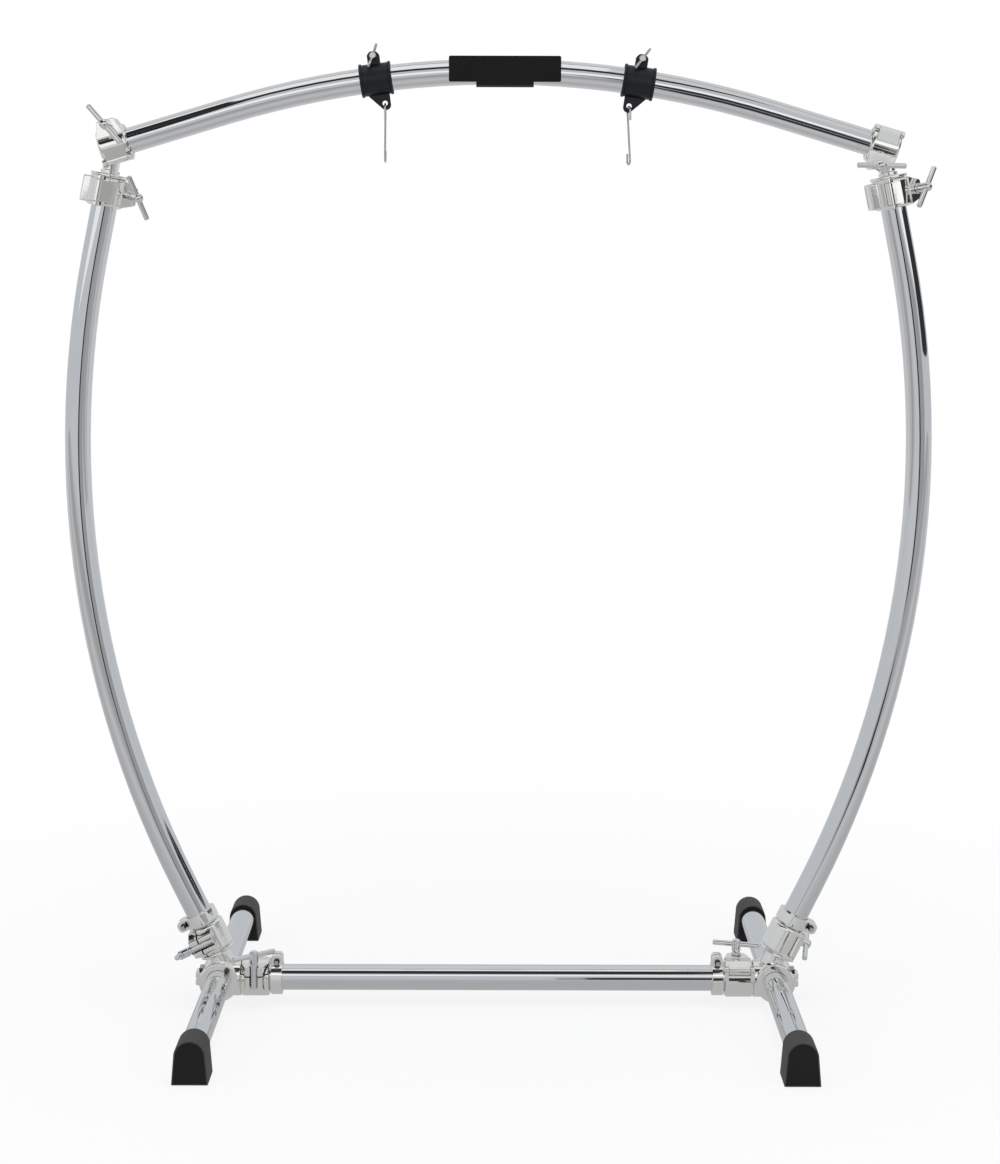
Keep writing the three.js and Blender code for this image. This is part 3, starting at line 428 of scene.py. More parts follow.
def base_casting():
    """The left casting, in place"""
    leg_axis = Vector((-LEG_X, 0, AXIS_HEIGHT))
    hub = turned(ring_outline(-LEG_HUB_HALF, LEG_HUB_HALF, LEG_HUB_RADIUS, CLAMP_BORE, LEG_HUB_EDGE))
    web = turned(rod_outline(WEB_START, WEB_END, WEB_RADIUS, edge=0.0005))
    cap_start, cap_end = UPRIGHT_SOCKET_START - CAP_THICK, UPRIGHT_SOCKET_START + OVERLAP
    cap = turned(rod_outline(cap_start, cap_end, CLAMP_RADIUS, edge=0.0025))
    bar_web = turned(rod_outline(0, BAR_WEB_LENGTH, CLAMP_RADIUS, edge=0.0012))
    lug_place = placed((-PINCH_LUG_X, 0, AXIS_HEIGHT), (1, 0, 0), (0, 1, 0))
    lug_low, lug_high = (-PINCH_LUG_REACH, -PINCH_LUG_HALF), (0.0, PINCH_LUG_HALF)
    lugs = []
    for low in PINCH_LUG_HEIGHTS:
        depths = (low, low + PINCH_LUG_THICK)
        lug = block(lug_low, lug_high, depths, PINCH_LUG_EDGE, PINCH_LUG_CORNER)
        lugs.append((lug, lug_place))
    hub_place = along(leg_axis, leg_axis + back)
    web_place = along(leg_cross, leg_cross + left_lean)
    bar_place = along((-BAR_WEB_X, 0, AXIS_HEIGHT), (0, 0, AXIS_HEIGHT))
    parts = [(hub, hub_place), (web, web_place), (cap, web_place.copy()), (bar_web, bar_place), *lugs]
    return combined(*parts, (half_socket(), bar_socket), (half_socket(), upright_socket))


for name, half_turn in (("left", 0), ("right", pi)):
    turn = Matrix.Rotation(half_turn, 4, "Z")
    casting = add_piece(f"{name}_base_casting", "stand", base_casting(), cast_chrome, turn)

# Hinged clamps: eight alike, each a half socket with a jaw on a steel hinge pin, drawn shut
# by a T screw through both ears. The jaws are chrome plated castings like their bodies, and
# the T screws are turned from steel, with a cross rod through the hub, and chrome plated.
JAW_HALF = 0.0215
JAW_SPLIT = 0.0128
JAW_EAR_END = 0.0265
JAW_SOFT_END = 0.0045
JAW_ARC_END = 37
JAW_SLOT = 0.0055
TONGUE_LOW = 0.006
TONGUE_BACK = 0.0215
SHANK_RADIUS = 0.0052
SHANK_END = -0.008
HUB_RADIUS = 0.0068
HUB_START = 0.0269
HUB_LENGTH = 0.024
HUB_NOSE = 0.6
WASHER_RADIUS = 0.008
WASHER_THICK = 0.002
WASHER_EDGE = 0.0004
NECK_RADIUS = 0.0056
NECK_LENGTH = 0.0025
NECK_FLARE = 0.001
CROSS_ROD_AT = 0.043
CROSS_ROD_HALF = 0.036
CROSS_ROD_RADIUS = 0.004
CROSS_ROD_EDGE = 0.0018
HINGE_PIN_RADIUS = 0.0025
PIN_PROUD = 0.0004
GAP = 0.0004

screw_chrome = plated("Screw chrome", (0.8, 0.8, 0.81), 0.05, 0.13, 25, 0)
pin_steel = plated("Pin steel", (0.6, 0.61, 0.62), 0.2, 0.32, 30, 0)


def jaw():
    """The moving half of a hinged clamp, in the clamp's own place"""
    outer, inner = split_angles(JAW_SPLIT)
    section = arc_points((0, 0), CLAMP_RADIUS, -outer, JAW_ARC_END, 30)
    section += arc_points((0, 0), CLAMP_BORE, inner - 3, -inner, 24)
    tongue = arc_points(HINGE, KNUCKLE_RADIUS, 190, -20, 16)
    tongue += [(CLAMP_RADIUS, TONGUE_LOW), (TONGUE_BACK, TONGUE_LOW)]
    reach = KNUCKLE_FROM - GAP
    ring = half_ring(section, JAW_HALF, JAW_SOFT_END)
    jaw_ear = ear(JAW_SPLIT, JAW_EAR_END, JAW_SLOT)
    return combined(ring, jaw_ear, pressed(tongue, -reach, reach, KNUCKLE_EDGE))


def hinge_pin():
    """A pin with slightly domed ends, along the clamp's hinge"""
    start = Vector((*HINGE, -CLAMP_HALF))
    outline = rod_outline(-PIN_PROUD, 2 * CLAMP_HALF + PIN_PROUD, HINGE_PIN_RADIUS, SMALL_EDGE)
    pin = (turned(outline, 24), along(start, start + up))
    return combined(pin)


def t_screw():
    """A T screw along X, its cross rod along Z"""
    nose_length = HUB_RADIUS * HUB_NOSE
    nose_start = HUB_START + HUB_LENGTH - nose_length
    steps = [radians(angle) for angle in (0, 20, 40, 60, 75, 90)]
    nose = [(nose_start + nose_length * sin(a), HUB_RADIUS * cos(a)) for a in steps]
    washer_end = HUB_START + WASHER_THICK
    washer = [(HUB_START, 0), (HUB_START, WASHER_RADIUS - 2 * WASHER_EDGE),
              (HUB_START + WASHER_EDGE, WASHER_RADIUS), (washer_end - WASHER_EDGE, WASHER_RADIUS),
              (washer_end, WASHER_RADIUS - 0.0006)]
    neck_end = washer_end + NECK_LENGTH
    neck = [(washer_end, NECK_RADIUS), (neck_end, NECK_RADIUS), (neck_end + NECK_FLARE, HUB_RADIUS)]
    shank = turned(rod_outline(SHANK_END, HUB_START + 0.001, SHANK_RADIUS, SMALL_EDGE), 32)
    rod = turned(rod_outline(-CROSS_ROD_HALF, CROSS_ROD_HALF, CROSS_ROD_RADIUS, CROSS_ROD_EDGE), 32)
    middle = Vector((CROSS_ROD_AT, 0, 0))
    return combined(shank, turned(washer + neck + nose, 40), (rod, along(middle, middle + up)))


def add_clamp(name, place, rod_angle):
    """A clamp's jaw, hinge pin and T screw, the cross rod turned by an angle"""
    add_piece(f"{name}_jaw", f"{name}_jaw", jaw(), cast_chrome, place)
    add_piece(f"{name}_hinge_pin", "stand", hinge_pin(), pin_steel, place)
    screw_turn = Matrix.Rotation(radians(rod_angle), 4, "X")
    screw_place = place @ Matrix.Translation((0, -SCREW_OFFSET, 0)) @ screw_turn
    add_piece(f"{name}_t_screw", f"{name}_t_screw", t_screw(), screw_chrome, screw_place)


for name, half_turn, bar_rod, foot_rod in (("left", 0, 36, 102), ("right", pi, -14, -65)):
    turn = Matrix.Rotation(half_turn, 4, "Z")
    add_clamp(f"{name}_bar", turn @ bar_socket, bar_rod)
    add_clamp(f"{name}_upright_foot", turn @ upright_socket, foot_rod)

# Key screws: square-headed steel set-up screws, one in the pinch lug of each base casting
# and one in each memory lock. Their round collars are blackened, so they look like rings.
KEY_HEAD = 0.008
COLLAR_LENGTH = 0.003
COLLAR_RIM = 0.0018
PINCH_X = 0.449
PINCH_REACH = 0.010
PINCH_RADIUS = 0.003

black_steel = plated("Blackened steel", (0.07, 0.068, 0.066), 0.3, 0.45, 30, 0)


def key_screw(reach, radius):
    """A key screw along X, from the far side of its lug to its square head"""
    collar_start = reach + GAP
    collar_end = collar_start + COLLAR_LENGTH
    shank = turned(rod_outline(-reach + 0.002, collar_start + 0.001, radius, edge=0.0004), 24)
    collar = turned(rod_outline(collar_start, collar_end, radius + COLLAR_RIM, edge=0.0007), 32)
    head = (collar_end - 0.001, collar_start + KEY_HEAD)
    square = block((-radius, -radius), (radius, radius), head, SMALL_EDGE, SMALL_EDGE)
    bm = combined(shank, collar)
    for face in bm.faces:
        face.material_index = 1
    upright_head = (square, placed((0, 0, 0), (0, 1, 0), (0, 0, 1)))
    return combined(bm, upright_head)


for name, side in (("left", -1), ("right", 1)):
    pinch = placed((side * PINCH_X, 0, AXIS_HEIGHT), up, back)
    key = key_screw(PINCH_REACH, PINCH_RADIUS)
    add_piece(f"{name}_leg_pinch_screw", "stand", key, [pin_steel, black_steel], pinch)

# Memory locks: a split chrome ring beside each base socket, left on the tube so that it goes
# back in at the same place. A key screw through its lug draws it tight.
LOCK_HALF = 0.00825
LOCK_RADIUS = 0.0255
LOCK_LUG_HALF = 0.012
LOCK_LUG_REACH = 0.0365
LOCK_SLOT = 0.0012
LOCK_SCREW_OFFSET = 0.0275
LOCK_SCREW_RADIUS = 0.0028
LOCK_SOFT_END = 0.0058
LOCK_X = 0.3345
LOCK_ALONG_UPRIGHT = 0.104


def memory_lock():
    """The ring with its lug at -Y, its tube along Z"""
    flank = degrees(acos(LOCK_LUG_HALF / LOCK_RADIUS))
    slit = degrees(acos(LOCK_SLOT / CLAMP_BORE))
    outline = [(LOCK_SLOT, -LOCK_LUG_REACH), (LOCK_LUG_HALF, -LOCK_LUG_REACH)]
    outline += arc_points((0, 0), LOCK_RADIUS, -flank, 180 + flank, 60)
    outline += [(-LOCK_LUG_HALF, -LOCK_LUG_REACH), (-LOCK_SLOT, -LOCK_LUG_REACH)]
    outline += arc_points((0, 0), CLAMP_BORE, 180 + slit, -slit, 60)
    bm = pressed(outline, -LOCK_HALF, LOCK_HALF, 0)
    tip = -LOCK_LUG_REACH + 1e-4
    return soften(bm, LOCK_SOFT_END, 6, lambda at: abs(at.z) > LOCK_HALF - CLOSE and at.y < tip)


def add_lock(name, place):
    """A memory lock and its key screw"""
    add_piece(f"{name}_memory_lock", "stand", memory_lock(), cast_chrome, place)
    screw_place = place @ Matrix.Translation((0, -LOCK_SCREW_OFFSET, 0))
    screw = key_screw(LOCK_LUG_HALF, LOCK_SCREW_RADIUS)
    add_piece(f"{name}_lock_screw", "stand", screw, [pin_steel, black_steel], screw_place)


for name, side in (("left", -1), ("right", 1)):
    add_lock(f"{name}_bar", placed((side * LOCK_X, 0, AXIS_HEIGHT), front, down))
    lean = Vector((side * sin(LEAN_LOW), 0, cos(LEAN_LOW)))
    inboard = Vector((-side * cos(LEAN_LOW), 0, sin(LEAN_LOW)))
    lock_at = Vector((side * LEG_CROSS_X, 0, AXIS_HEIGHT)) + lean * LOCK_ALONG_UPRIGHT
    add_lock(f"{name}_upright", placed(lock_at, front, inboard))

# Corner joints: a lower clamp on the upright's end and an upper clamp on the top bar, with a
# toothed swivel between them. All are chrome castings, and the lower body carries a square
# pad with a sunk face.
CORNER_X = 0.569
BOSS_START = 0.021
BOSS_RADIUS = 0.012
FLANGE_TOP = 0.0382
FLANGE_THICK = 0.005
FLANGE_RADIUS = 0.0132
TOOTH_COUNT = 24
TOOTH_ROOT = 0.0125
TOOTH_REACH = 0.014
TOOTH_ROOT_HALF = 0.0007
TOOTH_TIP_HALF = 0.0004
TOOTH_INSET = 0.0003
STUB_RADIUS = 0.007
STUB_ABOVE = 0.0018
STUB_BELOW = 0.006
PLATE_THICK = 0.004
PAD_BACK = 0.004
PAD_FACE = 0.035
PAD_SIDE = 0.024
PAD_NEAR_SIDE = 0.017
PAD_NEAR_BACK = 0.006
PAD_SHOULDER = 0.020
PAD_HALF = 0.0195
PAD_EDGE = 0.0025
PAD_CORNER = 0.004
PAD_RIM = 0.0026
PAD_SLOPE = 0.0007
PAD_SINK = 0.0009
LOWER_TURN = radians(52)
corner_z = TOP_HEIGHT - TOP_BEND * (1 - cos(TOP_SLOPE)) - (CORNER_X - bend_x) * tan(TOP_SLOPE)
plate_top = FLANGE_TOP + FLANGE_THICK + GAP


def lower_clamp_body():
    """The half socket closed by a plate over the tube's end, with its pad"""
    plate_start, plate_end = -CLAMP_HALF - PLATE_THICK, -CLAMP_HALF + OVERLAP
    plate = turned(rod_outline(plate_start, plate_end, CLAMP_RADIUS, edge=0.0015))
    pad_turn = Matrix.Rotation(pi / 2 - LOWER_TURN, 4, "Z")
    pad_outline = [(-PAD_SIDE, PAD_BACK), (PAD_NEAR_BACK, PAD_BACK), (PAD_NEAR_SIDE, PAD_SHOULDER),
                   (PAD_NEAR_SIDE, PAD_FACE), (-PAD_SIDE, PAD_FACE)]
    pad = pressed(pad_outline, -PAD_HALF, PAD_HALF, PAD_EDGE, corner=PAD_CORNER)
    face = [f for f in pad.faces if f.normal.y > 0.99 and f.calc_area() > 0.0003]
    bmesh.ops.inset_region(pad, faces=face, thickness=PAD_RIM)
    bmesh.ops.inset_region(pad, faces=face, thickness=PAD_SLOPE, depth=-PAD_SINK)
    return combined(half_socket(), (plate, along((0, 0, 0), up)), (pad, pad_turn))


def upper_clamp_body(place, corner, upright):
    """The half socket on the bar, with a round boss down to the swivel"""
    boss = turned(rod_outline(BOSS_START, FLANGE_TOP - GAP, BOSS_RADIUS, edge=0.0012))
    inside = place.inverted() @ along(corner, corner - upright)
    return combined(half_socket(), (boss, inside))


def swivel_post():
    """The toothed flange and its stubs, along -Z from the corner"""
    flange = turned(rod_outline(FLANGE_TOP, FLANGE_TOP + FLANGE_THICK, FLANGE_RADIUS, SMALL_EDGE))
    stub_end = plate_top + PLATE_THICK + STUB_BELOW
    stub = turned(rod_outline(FLANGE_TOP - STUB_ABOVE, stub_end, STUB_RADIUS, edge=0.0005), 32)
    tooth_outline = [(TOOTH_ROOT, -TOOTH_ROOT_HALF), (TOOTH_REACH, -TOOTH_TIP_HALF),
                     (TOOTH_REACH, TOOTH_TIP_HALF), (TOOTH_ROOT, TOOTH_ROOT_HALF)]
    low, high = FLANGE_TOP + TOOTH_INSET, FLANGE_TOP + FLANGE_THICK - TOOTH_INSET
    teeth = []
    for i in range(TOOTH_COUNT):
        tooth = pressed(tooth_outline, low, high, 0)
        teeth.append((tooth, Matrix.Rotation(2 * pi * i / TOOTH_COUNT, 4, "Z")))
    return combined((flange, along((0, 0, 0), up)), (stub, along((0, 0, 0), up)), *teeth)


for name, side, lower_rod, upper_rod in (("left", -1, 37, -66), ("right", 1, -43, 16)):
    corner = Vector((side * CORNER_X, 0, corner_z))
    upright = Vector((-side * sin(LEAN_HIGH), 0, cos(LEAN_HIGH)))
    outward = Vector((cos(LEAN_HIGH), 0, side * sin(LEAN_HIGH)))
    screw_way = outward * cos(LOWER_TURN) + front * sin(LOWER_TURN)
    hinge_way = front * cos(LOWER_TURN) - outward * sin(LOWER_TURN)
    lower = placed(corner - upright * (plate_top + PLATE_THICK + CLAMP_HALF), screw_way, hinge_way)
    body = lower_clamp_body()
    add_piece(f"{name}_lower_clamp_body", "stand", body, cast_chrome, lower)
    add_clamp(f"{name}_lower_clamp", lower, lower_rod)
    normal = Vector((side * sin(TOP_SLOPE), 0, cos(TOP_SLOPE)))
    upper = placed(corner, front, normal * side)
    body = upper_clamp_body(upper, corner, upright)
    add_piece(f"{name}_upper_clamp_body", "stand", body, cast_chrome, upper)
    add_clamp(f"{name}_upper_clamp", upper, upper_rod)
    swivel = placed(corner, back.cross(-upright), back)
    add_piece(f"{name}_swivel_post", "stand", swivel_post(), cast_chrome, swivel)

# Feet: four moulded rubber blocks, flat below and arched above, pushed over the leg ends. Each
# end face is sunk a little inside the rim and is given a near-black rubber as painted shade,
# while the arch is rubber that is dusty in patches.
FOOT_DEPTH = 0.050
FOOT_HALF = 0.0255
FOOT_ARCH = 0.0222
FOOT_ARCH_HEIGHT = 0.0402
FOOT_EDGE = 0.0014
FOOT_RIM = 0.0004
FOOT_SLOPE = 0.0005
FOOT_SINK = 0.0008
STAND_DEPTH = 0.660


# Dust and grain: a moulding's colour turning dusty in soft patches, and its fine grain
moulding, given, result = socket_group(
    "Dust and grain",
    [("Vector", "NodeSocketVector", (0, 0, 0)), ("Clean", "NodeSocketColor", (0, 0, 0, 1)),
     ("Dusty", "NodeSocketColor", (0.01, 0.01, 0.01, 1))],
    [("Color", "NodeSocketColor"), ("Grain", "NodeSocketFloat")],
)
patches = moulding.nodes.new("ShaderNodeTexNoise")
patches.inputs["Scale"].default_value = 28
patches.inputs["Detail"].default_value = 4
dusting = moulding.nodes.new("ShaderNodeMix")
dusting.data_type = "RGBA"
grain = moulding.nodes.new("ShaderNodeTexNoise")
grain.inputs["Scale"].default_value = 900
moulding.links.new(given.outputs["Vector"], patches.inputs["Vector"])
moulding.links.new(given.outputs["Vector"], grain.inputs["Vector"])
moulding.links.new(given.outputs["Clean"], dusting.inputs["A"])
moulding.links.new(given.outputs["Dusty"], dusting.inputs["B"])
moulding.links.new(patches.outputs["Fac"], dusting.inputs["Factor"])
moulding.links.new(dusting.outputs["Result"], result.inputs["Color"])
moulding.links.new(grain.outputs["Fac"], result.inputs["Grain"])


def rubber(name, colour, dust, rough, shine=0.35):
    """Moulded rubber or plastic, dustier in patches and very slightly grained"""
    material = bpy.data.materials.new(name)
    material.use_nodes = True
    nodes, links = material.node_tree.nodes, material.node_tree.links
    shader = nodes["Principled BSDF"]
    shader.inputs["Roughness"].default_value = rough
    shader.inputs["Specular IOR Level"].default_value = shine
    place = nodes.new("ShaderNodeTexCoord")
    surface = nodes.new("ShaderNodeGroup")
    surface.node_tree = moulding
    surface.inputs["Clean"].default_value = (*colour, 1)
    surface.inputs["Dusty"].default_value = (*dust, 1)
    bump = nodes.new("ShaderNodeBump")
    bump.inputs["Strength"].default_value = 0.15
    bump.inputs["Distance"].default_value = 0.0004
    links.new(place.outputs["Object"], surface.inputs["Vector"])
    links.new(surface.outputs["Color"], shader.inputs["Base Color"])
    links.new(surface.outputs["Grain"], bump.inputs["Height"])
    links.new(bump.outputs["Normal"], shader.inputs["Normal"])
    return material


foot_rubber = rubber("Foot rubber", (0.036, 0.034, 0.033), (0.06, 0.056, 0.053), 0.6)
# The end faces' near-black rubber is painted shade, standing in for the shade on the sunk,
# sideways-facing ends.
foot_end_painted_shade = rubber("Foot end face, painted shade", (0.006, 0.006, 0.0065), (0.009, 0.009, 0.0095), 0.75)


def foot_block():
    """A foot from its outer end inwards along Z, standing on Y = 0"""
    arch = arc_points((0, FOOT_ARCH_HEIGHT), FOOT_ARCH, 0, 180, 32)
    outline = [(-FOOT_HALF, 0.0), (FOOT_HALF, 0.0), *arch]
    bm = pressed(outline, 0.0, FOOT_DEPTH, FOOT_EDGE, segments=4)
    ends = [f for f in bm.faces if abs(f.normal.z) > 0.99 and f.calc_area() > 0.0005]
    bmesh.ops.inset_region(bm, faces=ends, thickness=FOOT_RIM)
    bmesh.ops.inset_region(bm, faces=ends, thickness=FOOT_SLOPE, depth=-FOOT_SINK)
    # The sunk end faces take the second, near-black material: painted shade.
    for face in ends:
        face.material_index = 1
    return bm


for name, side in (("left", -1), ("right", 1)):
    for end, facing in (("front", -1), ("rear", 1)):
        inward = Vector((0, -facing, 0))
        standing = placed((side * LEG_X, facing * STAND_DEPTH / 2, 0), up.cross(inward), up)
        foot = add_piece(f"{end}_{name}_foot", "stand", foot_block(), [foot_rubber, foot_end_painted_shade], standing)

# Hangers: two split plastic collars that slide on the top bar, each with a lip at both ends and
# two pinch ears above, drawn together by a steel wing screw. A hook bent from steel wire hangs
# in the eye below.
HANGER_X = {"left": -0.182, "right": 0.206}
HANGER_HALF = 0.0235
HANGER_RADIUS = 0.0233
HANGER_BORE = 0.0203
HANGER_LIP = 0.0014
LIP_EDGE = 0.0008
LIP_LENGTH = 0.0035
LIP_SLOPE = 0.001
PINCH_EAR_FROM = 0.0012
PINCH_EAR_THICK = 0.0078
PINCH_EAR_HALF = 0.009
PINCH_EAR_LOW = 0.015
PINCH_EAR_SHOULDER = 0.036
PINCH_EAR_TOP = 0.041
PINCH_EAR_TOP_HALF = 0.0045
PINCH_EAR_EDGE = 0.0008
PINCH_EAR_CORNER = 0.0015
WING_OFFSET = 0.034
WING_TURN = {"left": 20, "right": 38}
WING_REACH = 0.0094
WING_SHANK_RADIUS = 0.0028
WING_HUB_LENGTH = 0.010
WING_HUB_RADIUS = 0.006
WING_HUB_TIP = 0.004
WING_HALF = 0.0018
WING_OUTLINE = ((0.002, 0.002), (0.009, 0.004), (0.0175, 0.009), (0.0185, 0.013), (0.0145, 0.015),
                (0.008, 0.010), (0.002, 0.009))
WING_NUT_RADIUS = 0.0055
WING_NUT_LENGTH = 0.004
EYE_IN = 0.0085
EYE_DOWN = 0.0365
EYE_RADIUS = 0.004
EYE_PLATE_HALF = 0.0025
EYE_PLATE_TOP = -0.015
EYE_PLATE_OUTER = -0.014
EYE_PLATE_INNER = 0.017
EYE_PLATE_OUTER_LOW = -0.024
EYE_PLATE_TIP = (0.0095, -0.039)
EYE_PLATE_TIP_RADIUS = 0.0075
WIRE_RADIUS = 0.0015
WIRE_SIDES = 16
WIRE_END_EDGE = 0.0005
WIRE_CLEARANCE = 0.0015
HOOK_BEND = 0.006
HOOK_HEIGHT = 0.085
UPPER_TAIL = 0.014
LOWER_TAIL = 0.010
HOOK_YAW = {"left": 0, "right": 17}

collar_plastic = rubber("Collar plastic", (0.004, 0.0045, 0.008), (0.007, 0.008, 0.012), 0.42)
wire_steel = plated("Bright wire", (0.6, 0.61, 0.62), 0.22, 0.3, 40, 0)


def hanger_collar(inside):
    """A collar with the bar along X, +Z away from the bend's centre"""
    lip = HANGER_RADIUS + HANGER_LIP
    lip_end = LIP_LENGTH - HANGER_HALF
    profile = [(-HANGER_HALF, HANGER_BORE), (-HANGER_HALF, lip - LIP_EDGE), (LIP_EDGE - HANGER_HALF, lip),
               (lip_end, lip), (lip_end + LIP_SLOPE, HANGER_RADIUS)]
    mirrored = [(-x, radius) for x, radius in reversed(profile)]
    sleeve = turned(profile + mirrored + [profile[0]], 64)
    right_half = [(PINCH_EAR_HALF, PINCH_EAR_LOW), (PINCH_EAR_HALF, PINCH_EAR_SHOULDER),
                  (PINCH_EAR_TOP_HALF, PINCH_EAR_TOP)]
    left_half = [(-x, z) for x, z in reversed(right_half)]
    ear_outline = [left_half[-1], *right_half, *left_half[:-1]]
    ears = []
    for y in (PINCH_EAR_FROM + PINCH_EAR_THICK, -PINCH_EAR_FROM):
        one = pressed(ear_outline, 0.0, PINCH_EAR_THICK, PINCH_EAR_EDGE, corner=PINCH_EAR_CORNER)
        ears.append((one, placed((0, y, 0), (1, 0, 0), (0, 0, 1))))
    eye = arc_points((inside * EYE_IN, -EYE_DOWN), EYE_RADIUS, 0, 360, 20)[:-1]
    tip = arc_points(EYE_PLATE_TIP, EYE_PLATE_TIP_RADIUS, 0, -145, 10)
    outline = [(EYE_PLATE_OUTER, EYE_PLATE_TOP), (EYE_PLATE_INNER, EYE_PLATE_TOP), *tip,
               (EYE_PLATE_OUTER, EYE_PLATE_OUTER_LOW)]
    facing_inside = [(inside * x, z) for x, z in outline]
    plate = pressed(facing_inside, -EYE_PLATE_HALF, EYE_PLATE_HALF, edge=0.0007, holes=[eye])
    return combined(sleeve, *ears, (plate, placed((0, 0, 0), (1, 0, 0), (0, 0, 1))))


def wing_screw():
    """A wing screw along -Y through its origin, its wings upright, with a nut behind"""
    reach, tip = WING_REACH, WING_REACH + WING_HUB_LENGTH
    shank = turned(rod_outline(-reach - 0.001, reach + 0.001, WING_SHANK_RADIUS, edge=0.0004), 24)
    hub = turned([(reach, 0), (reach, WING_HUB_RADIUS - 0.0002), (reach + 0.001, WING_HUB_RADIUS),
                  (tip - 0.001, WING_HUB_TIP + 0.0007), (tip, WING_HUB_TIP), (tip, 0)], 32)
    hexagon = arc_points((0, 0), WING_NUT_RADIUS, 0, 360, 6)[:-1]
    nut = pressed(hexagon, reach, reach + WING_NUT_LENGTH, edge=0.0004)
    frontward = along((0, 0, 0), front)
    parts = [(shank, frontward), (hub, frontward.copy()), (nut, placed((0, 0, 0), (0, 0, 1), (1, 0, 0)))]
    for way in (1, -1):
        outline = [(way * z, y) for z, y in WING_OUTLINE]
        blade = pressed(outline, -WING_HALF, WING_HALF, edge=0.0009, corner=0.0012)
        parts.append((blade, placed((0, -reach, 0), (0, 0, 1), (0, -1, 0))))
    return combined(*parts)


def wire_hook():
    """A wire bent into two opposite loops, from the wire's top at the origin, in the YZ plane"""
    gap = HOOK_HEIGHT - 2 * HOOK_BEND
    slant = asin(2 * HOOK_BEND / gap)
    shank = gap * cos(slant)
    turn = pi + slant
    runs = [(UPPER_TAIL, None), (turn * HOOK_BEND, -HOOK_BEND), (shank, None),
            (turn * HOOK_BEND, HOOK_BEND), (LOWER_TAIL, None)]
    start = (0, -HOOK_BEND, -HOOK_BEND - UPPER_TAIL)
    bm = swept(WIRE_RADIUS, WIRE_SIDES, start, (0, 0, 1), Vector((1, 0, 0)), runs)
    bmesh.ops.holes_fill(bm, edges=[e for e in bm.edges if e.is_boundary])
    ends = [e for e in bm.edges if e.calc_face_angle(0) > SHARP_ANGLE]
    rounded(bm, ends, WIRE_END_EDGE, 3, clamp=False)
    return combined(bm)


for name in ("left", "right"):
    angle = asin(HANGER_X[name] / TOP_BEND)
    inside = 1 if HANGER_X[name] < 0 else -1
    on_bar = Vector((TOP_BEND * sin(angle), 0, TOP_HEIGHT - TOP_BEND * (1 - cos(angle))))
    lean = Matrix.Translation(on_bar) @ Matrix.Rotation(angle, 4, "Y")
    bm = hanger_collar(inside)
    collar = add_piece(f"{name}_hanger_collar", f"{name}_hanger", bm, collar_plastic, lean)
    wing_turn = Matrix.Rotation(radians(WING_TURN[name]) - angle, 4, "Y")
    wing_place = lean @ Matrix.Translation((0, 0, WING_OFFSET)) @ wing_turn
    wing = add_piece(f"{name}_wing_screw", f"{name}_wing_screw", wing_screw(), wire_steel, wing_place)
    wire_height = -EYE_DOWN - EYE_RADIUS + WIRE_RADIUS + WIRE_CLEARANCE
    rest = lean @ Vector((inside * EYE_IN, 0, wire_height))
    hook_place = Matrix.Translation(rest) @ Matrix.Rotation(radians(HOOK_YAW[name]), 4, "Z")
    add_piece(f"{name}_hook", f"{name}_hook", wire_hook(), wire_steel, hook_place)

# Badge: a blank black plate in front of the top bar, moulded in one with a clip that grips
# the tube from below.
BADGE_FRONT = -0.0255
BADGE_THICK = 0.003
BADGE_LOW = 1.3904
BADGE_HIGH = 1.4284
BADGE_EDGE = 0.0008
BADGE_CORNER = 0.0025
BRIDGE_HALF = 0.012
CLIP_HALF = 0.0425
CLIP_BORE = 0.0201
CLIP_RADIUS = 0.0229
CLIP_FROM = -187
CLIP_TO = 97

badge_low, badge_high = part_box("badge")
badge_x = (badge_low.x + badge_high.x) / 2
plate_half = (badge_high.x - badge_low.x) / 2
plate_back = -BADGE_FRONT - BADGE_THICK
plate_low = (-plate_half, BADGE_LOW - TOP_HEIGHT)
plate_high = (plate_half, BADGE_HIGH - TOP_HEIGHT)
plate_depths = (plate_back, -BADGE_FRONT)
badge_plate = block(plate_low, plate_high, plate_depths, BADGE_EDGE, BADGE_CORNER)
clip_section = arc_points((0, 0), CLIP_RADIUS, CLIP_FROM, CLIP_TO, 56)
clip_section += arc_points((0, 0), CLIP_BORE, CLIP_TO, CLIP_FROM, 52)
clip = pressed(clip_section, -CLIP_HALF, CLIP_HALF, SMALL_EDGE)
bridge_depths = (CLIP_RADIUS - 0.002, plate_back + 0.0005)
bridge = block((-CLIP_HALF, -BRIDGE_HALF), (CLIP_HALF, BRIDGE_HALF), bridge_depths, edge=0.0004)
facing_front = placed((badge_x, 0, TOP_HEIGHT), (1, 0, 0), up)
clip_place = placed((badge_x, 0, TOP_HEIGHT), front, up)
badge_plastic = rubber("Badge plastic", (0.004, 0.003, 0.004), (0.006, 0.005, 0.006), 0.5, shine=0.2)
badge_body = combined((badge_plate, facing_front), (bridge, facing_front.copy()), (clip, clip_place))
badge = add_piece("badge", "stand", badge_body, badge_plastic)

# Studio: a pale floor that fades into a white background, and four soft lamps, of which the
# chrome shows none. It mirrors dark, grey and white cards instead, which the camera can't see,
# and in its reflections the floor glows in light and dark bands from front to back: painted
# light and shade, not the floor's own colour.
PAINTED_FLOOR_REFLECTION_TONES = ((0.04, 0.62), (0.22, 0.52), (0.38, 0.37), (0.53, 0.42),
               (0.67, 0.6), (0.77, 0.46), (0.92, 0.64))
LAMP_AIM = Vector((0, 0, 0.7))
scene = bpy.context.scene
scene.view_settings.view_transform = "Standard"


def stage_material(name):
    """A bare material for the stage, with its node tree emptied"""
    material = bpy.data.materials.new(name)
    material.use_nodes = True
    material.node_tree.nodes.clear()
    return material, material.node_tree.nodes, material.node_tree.links


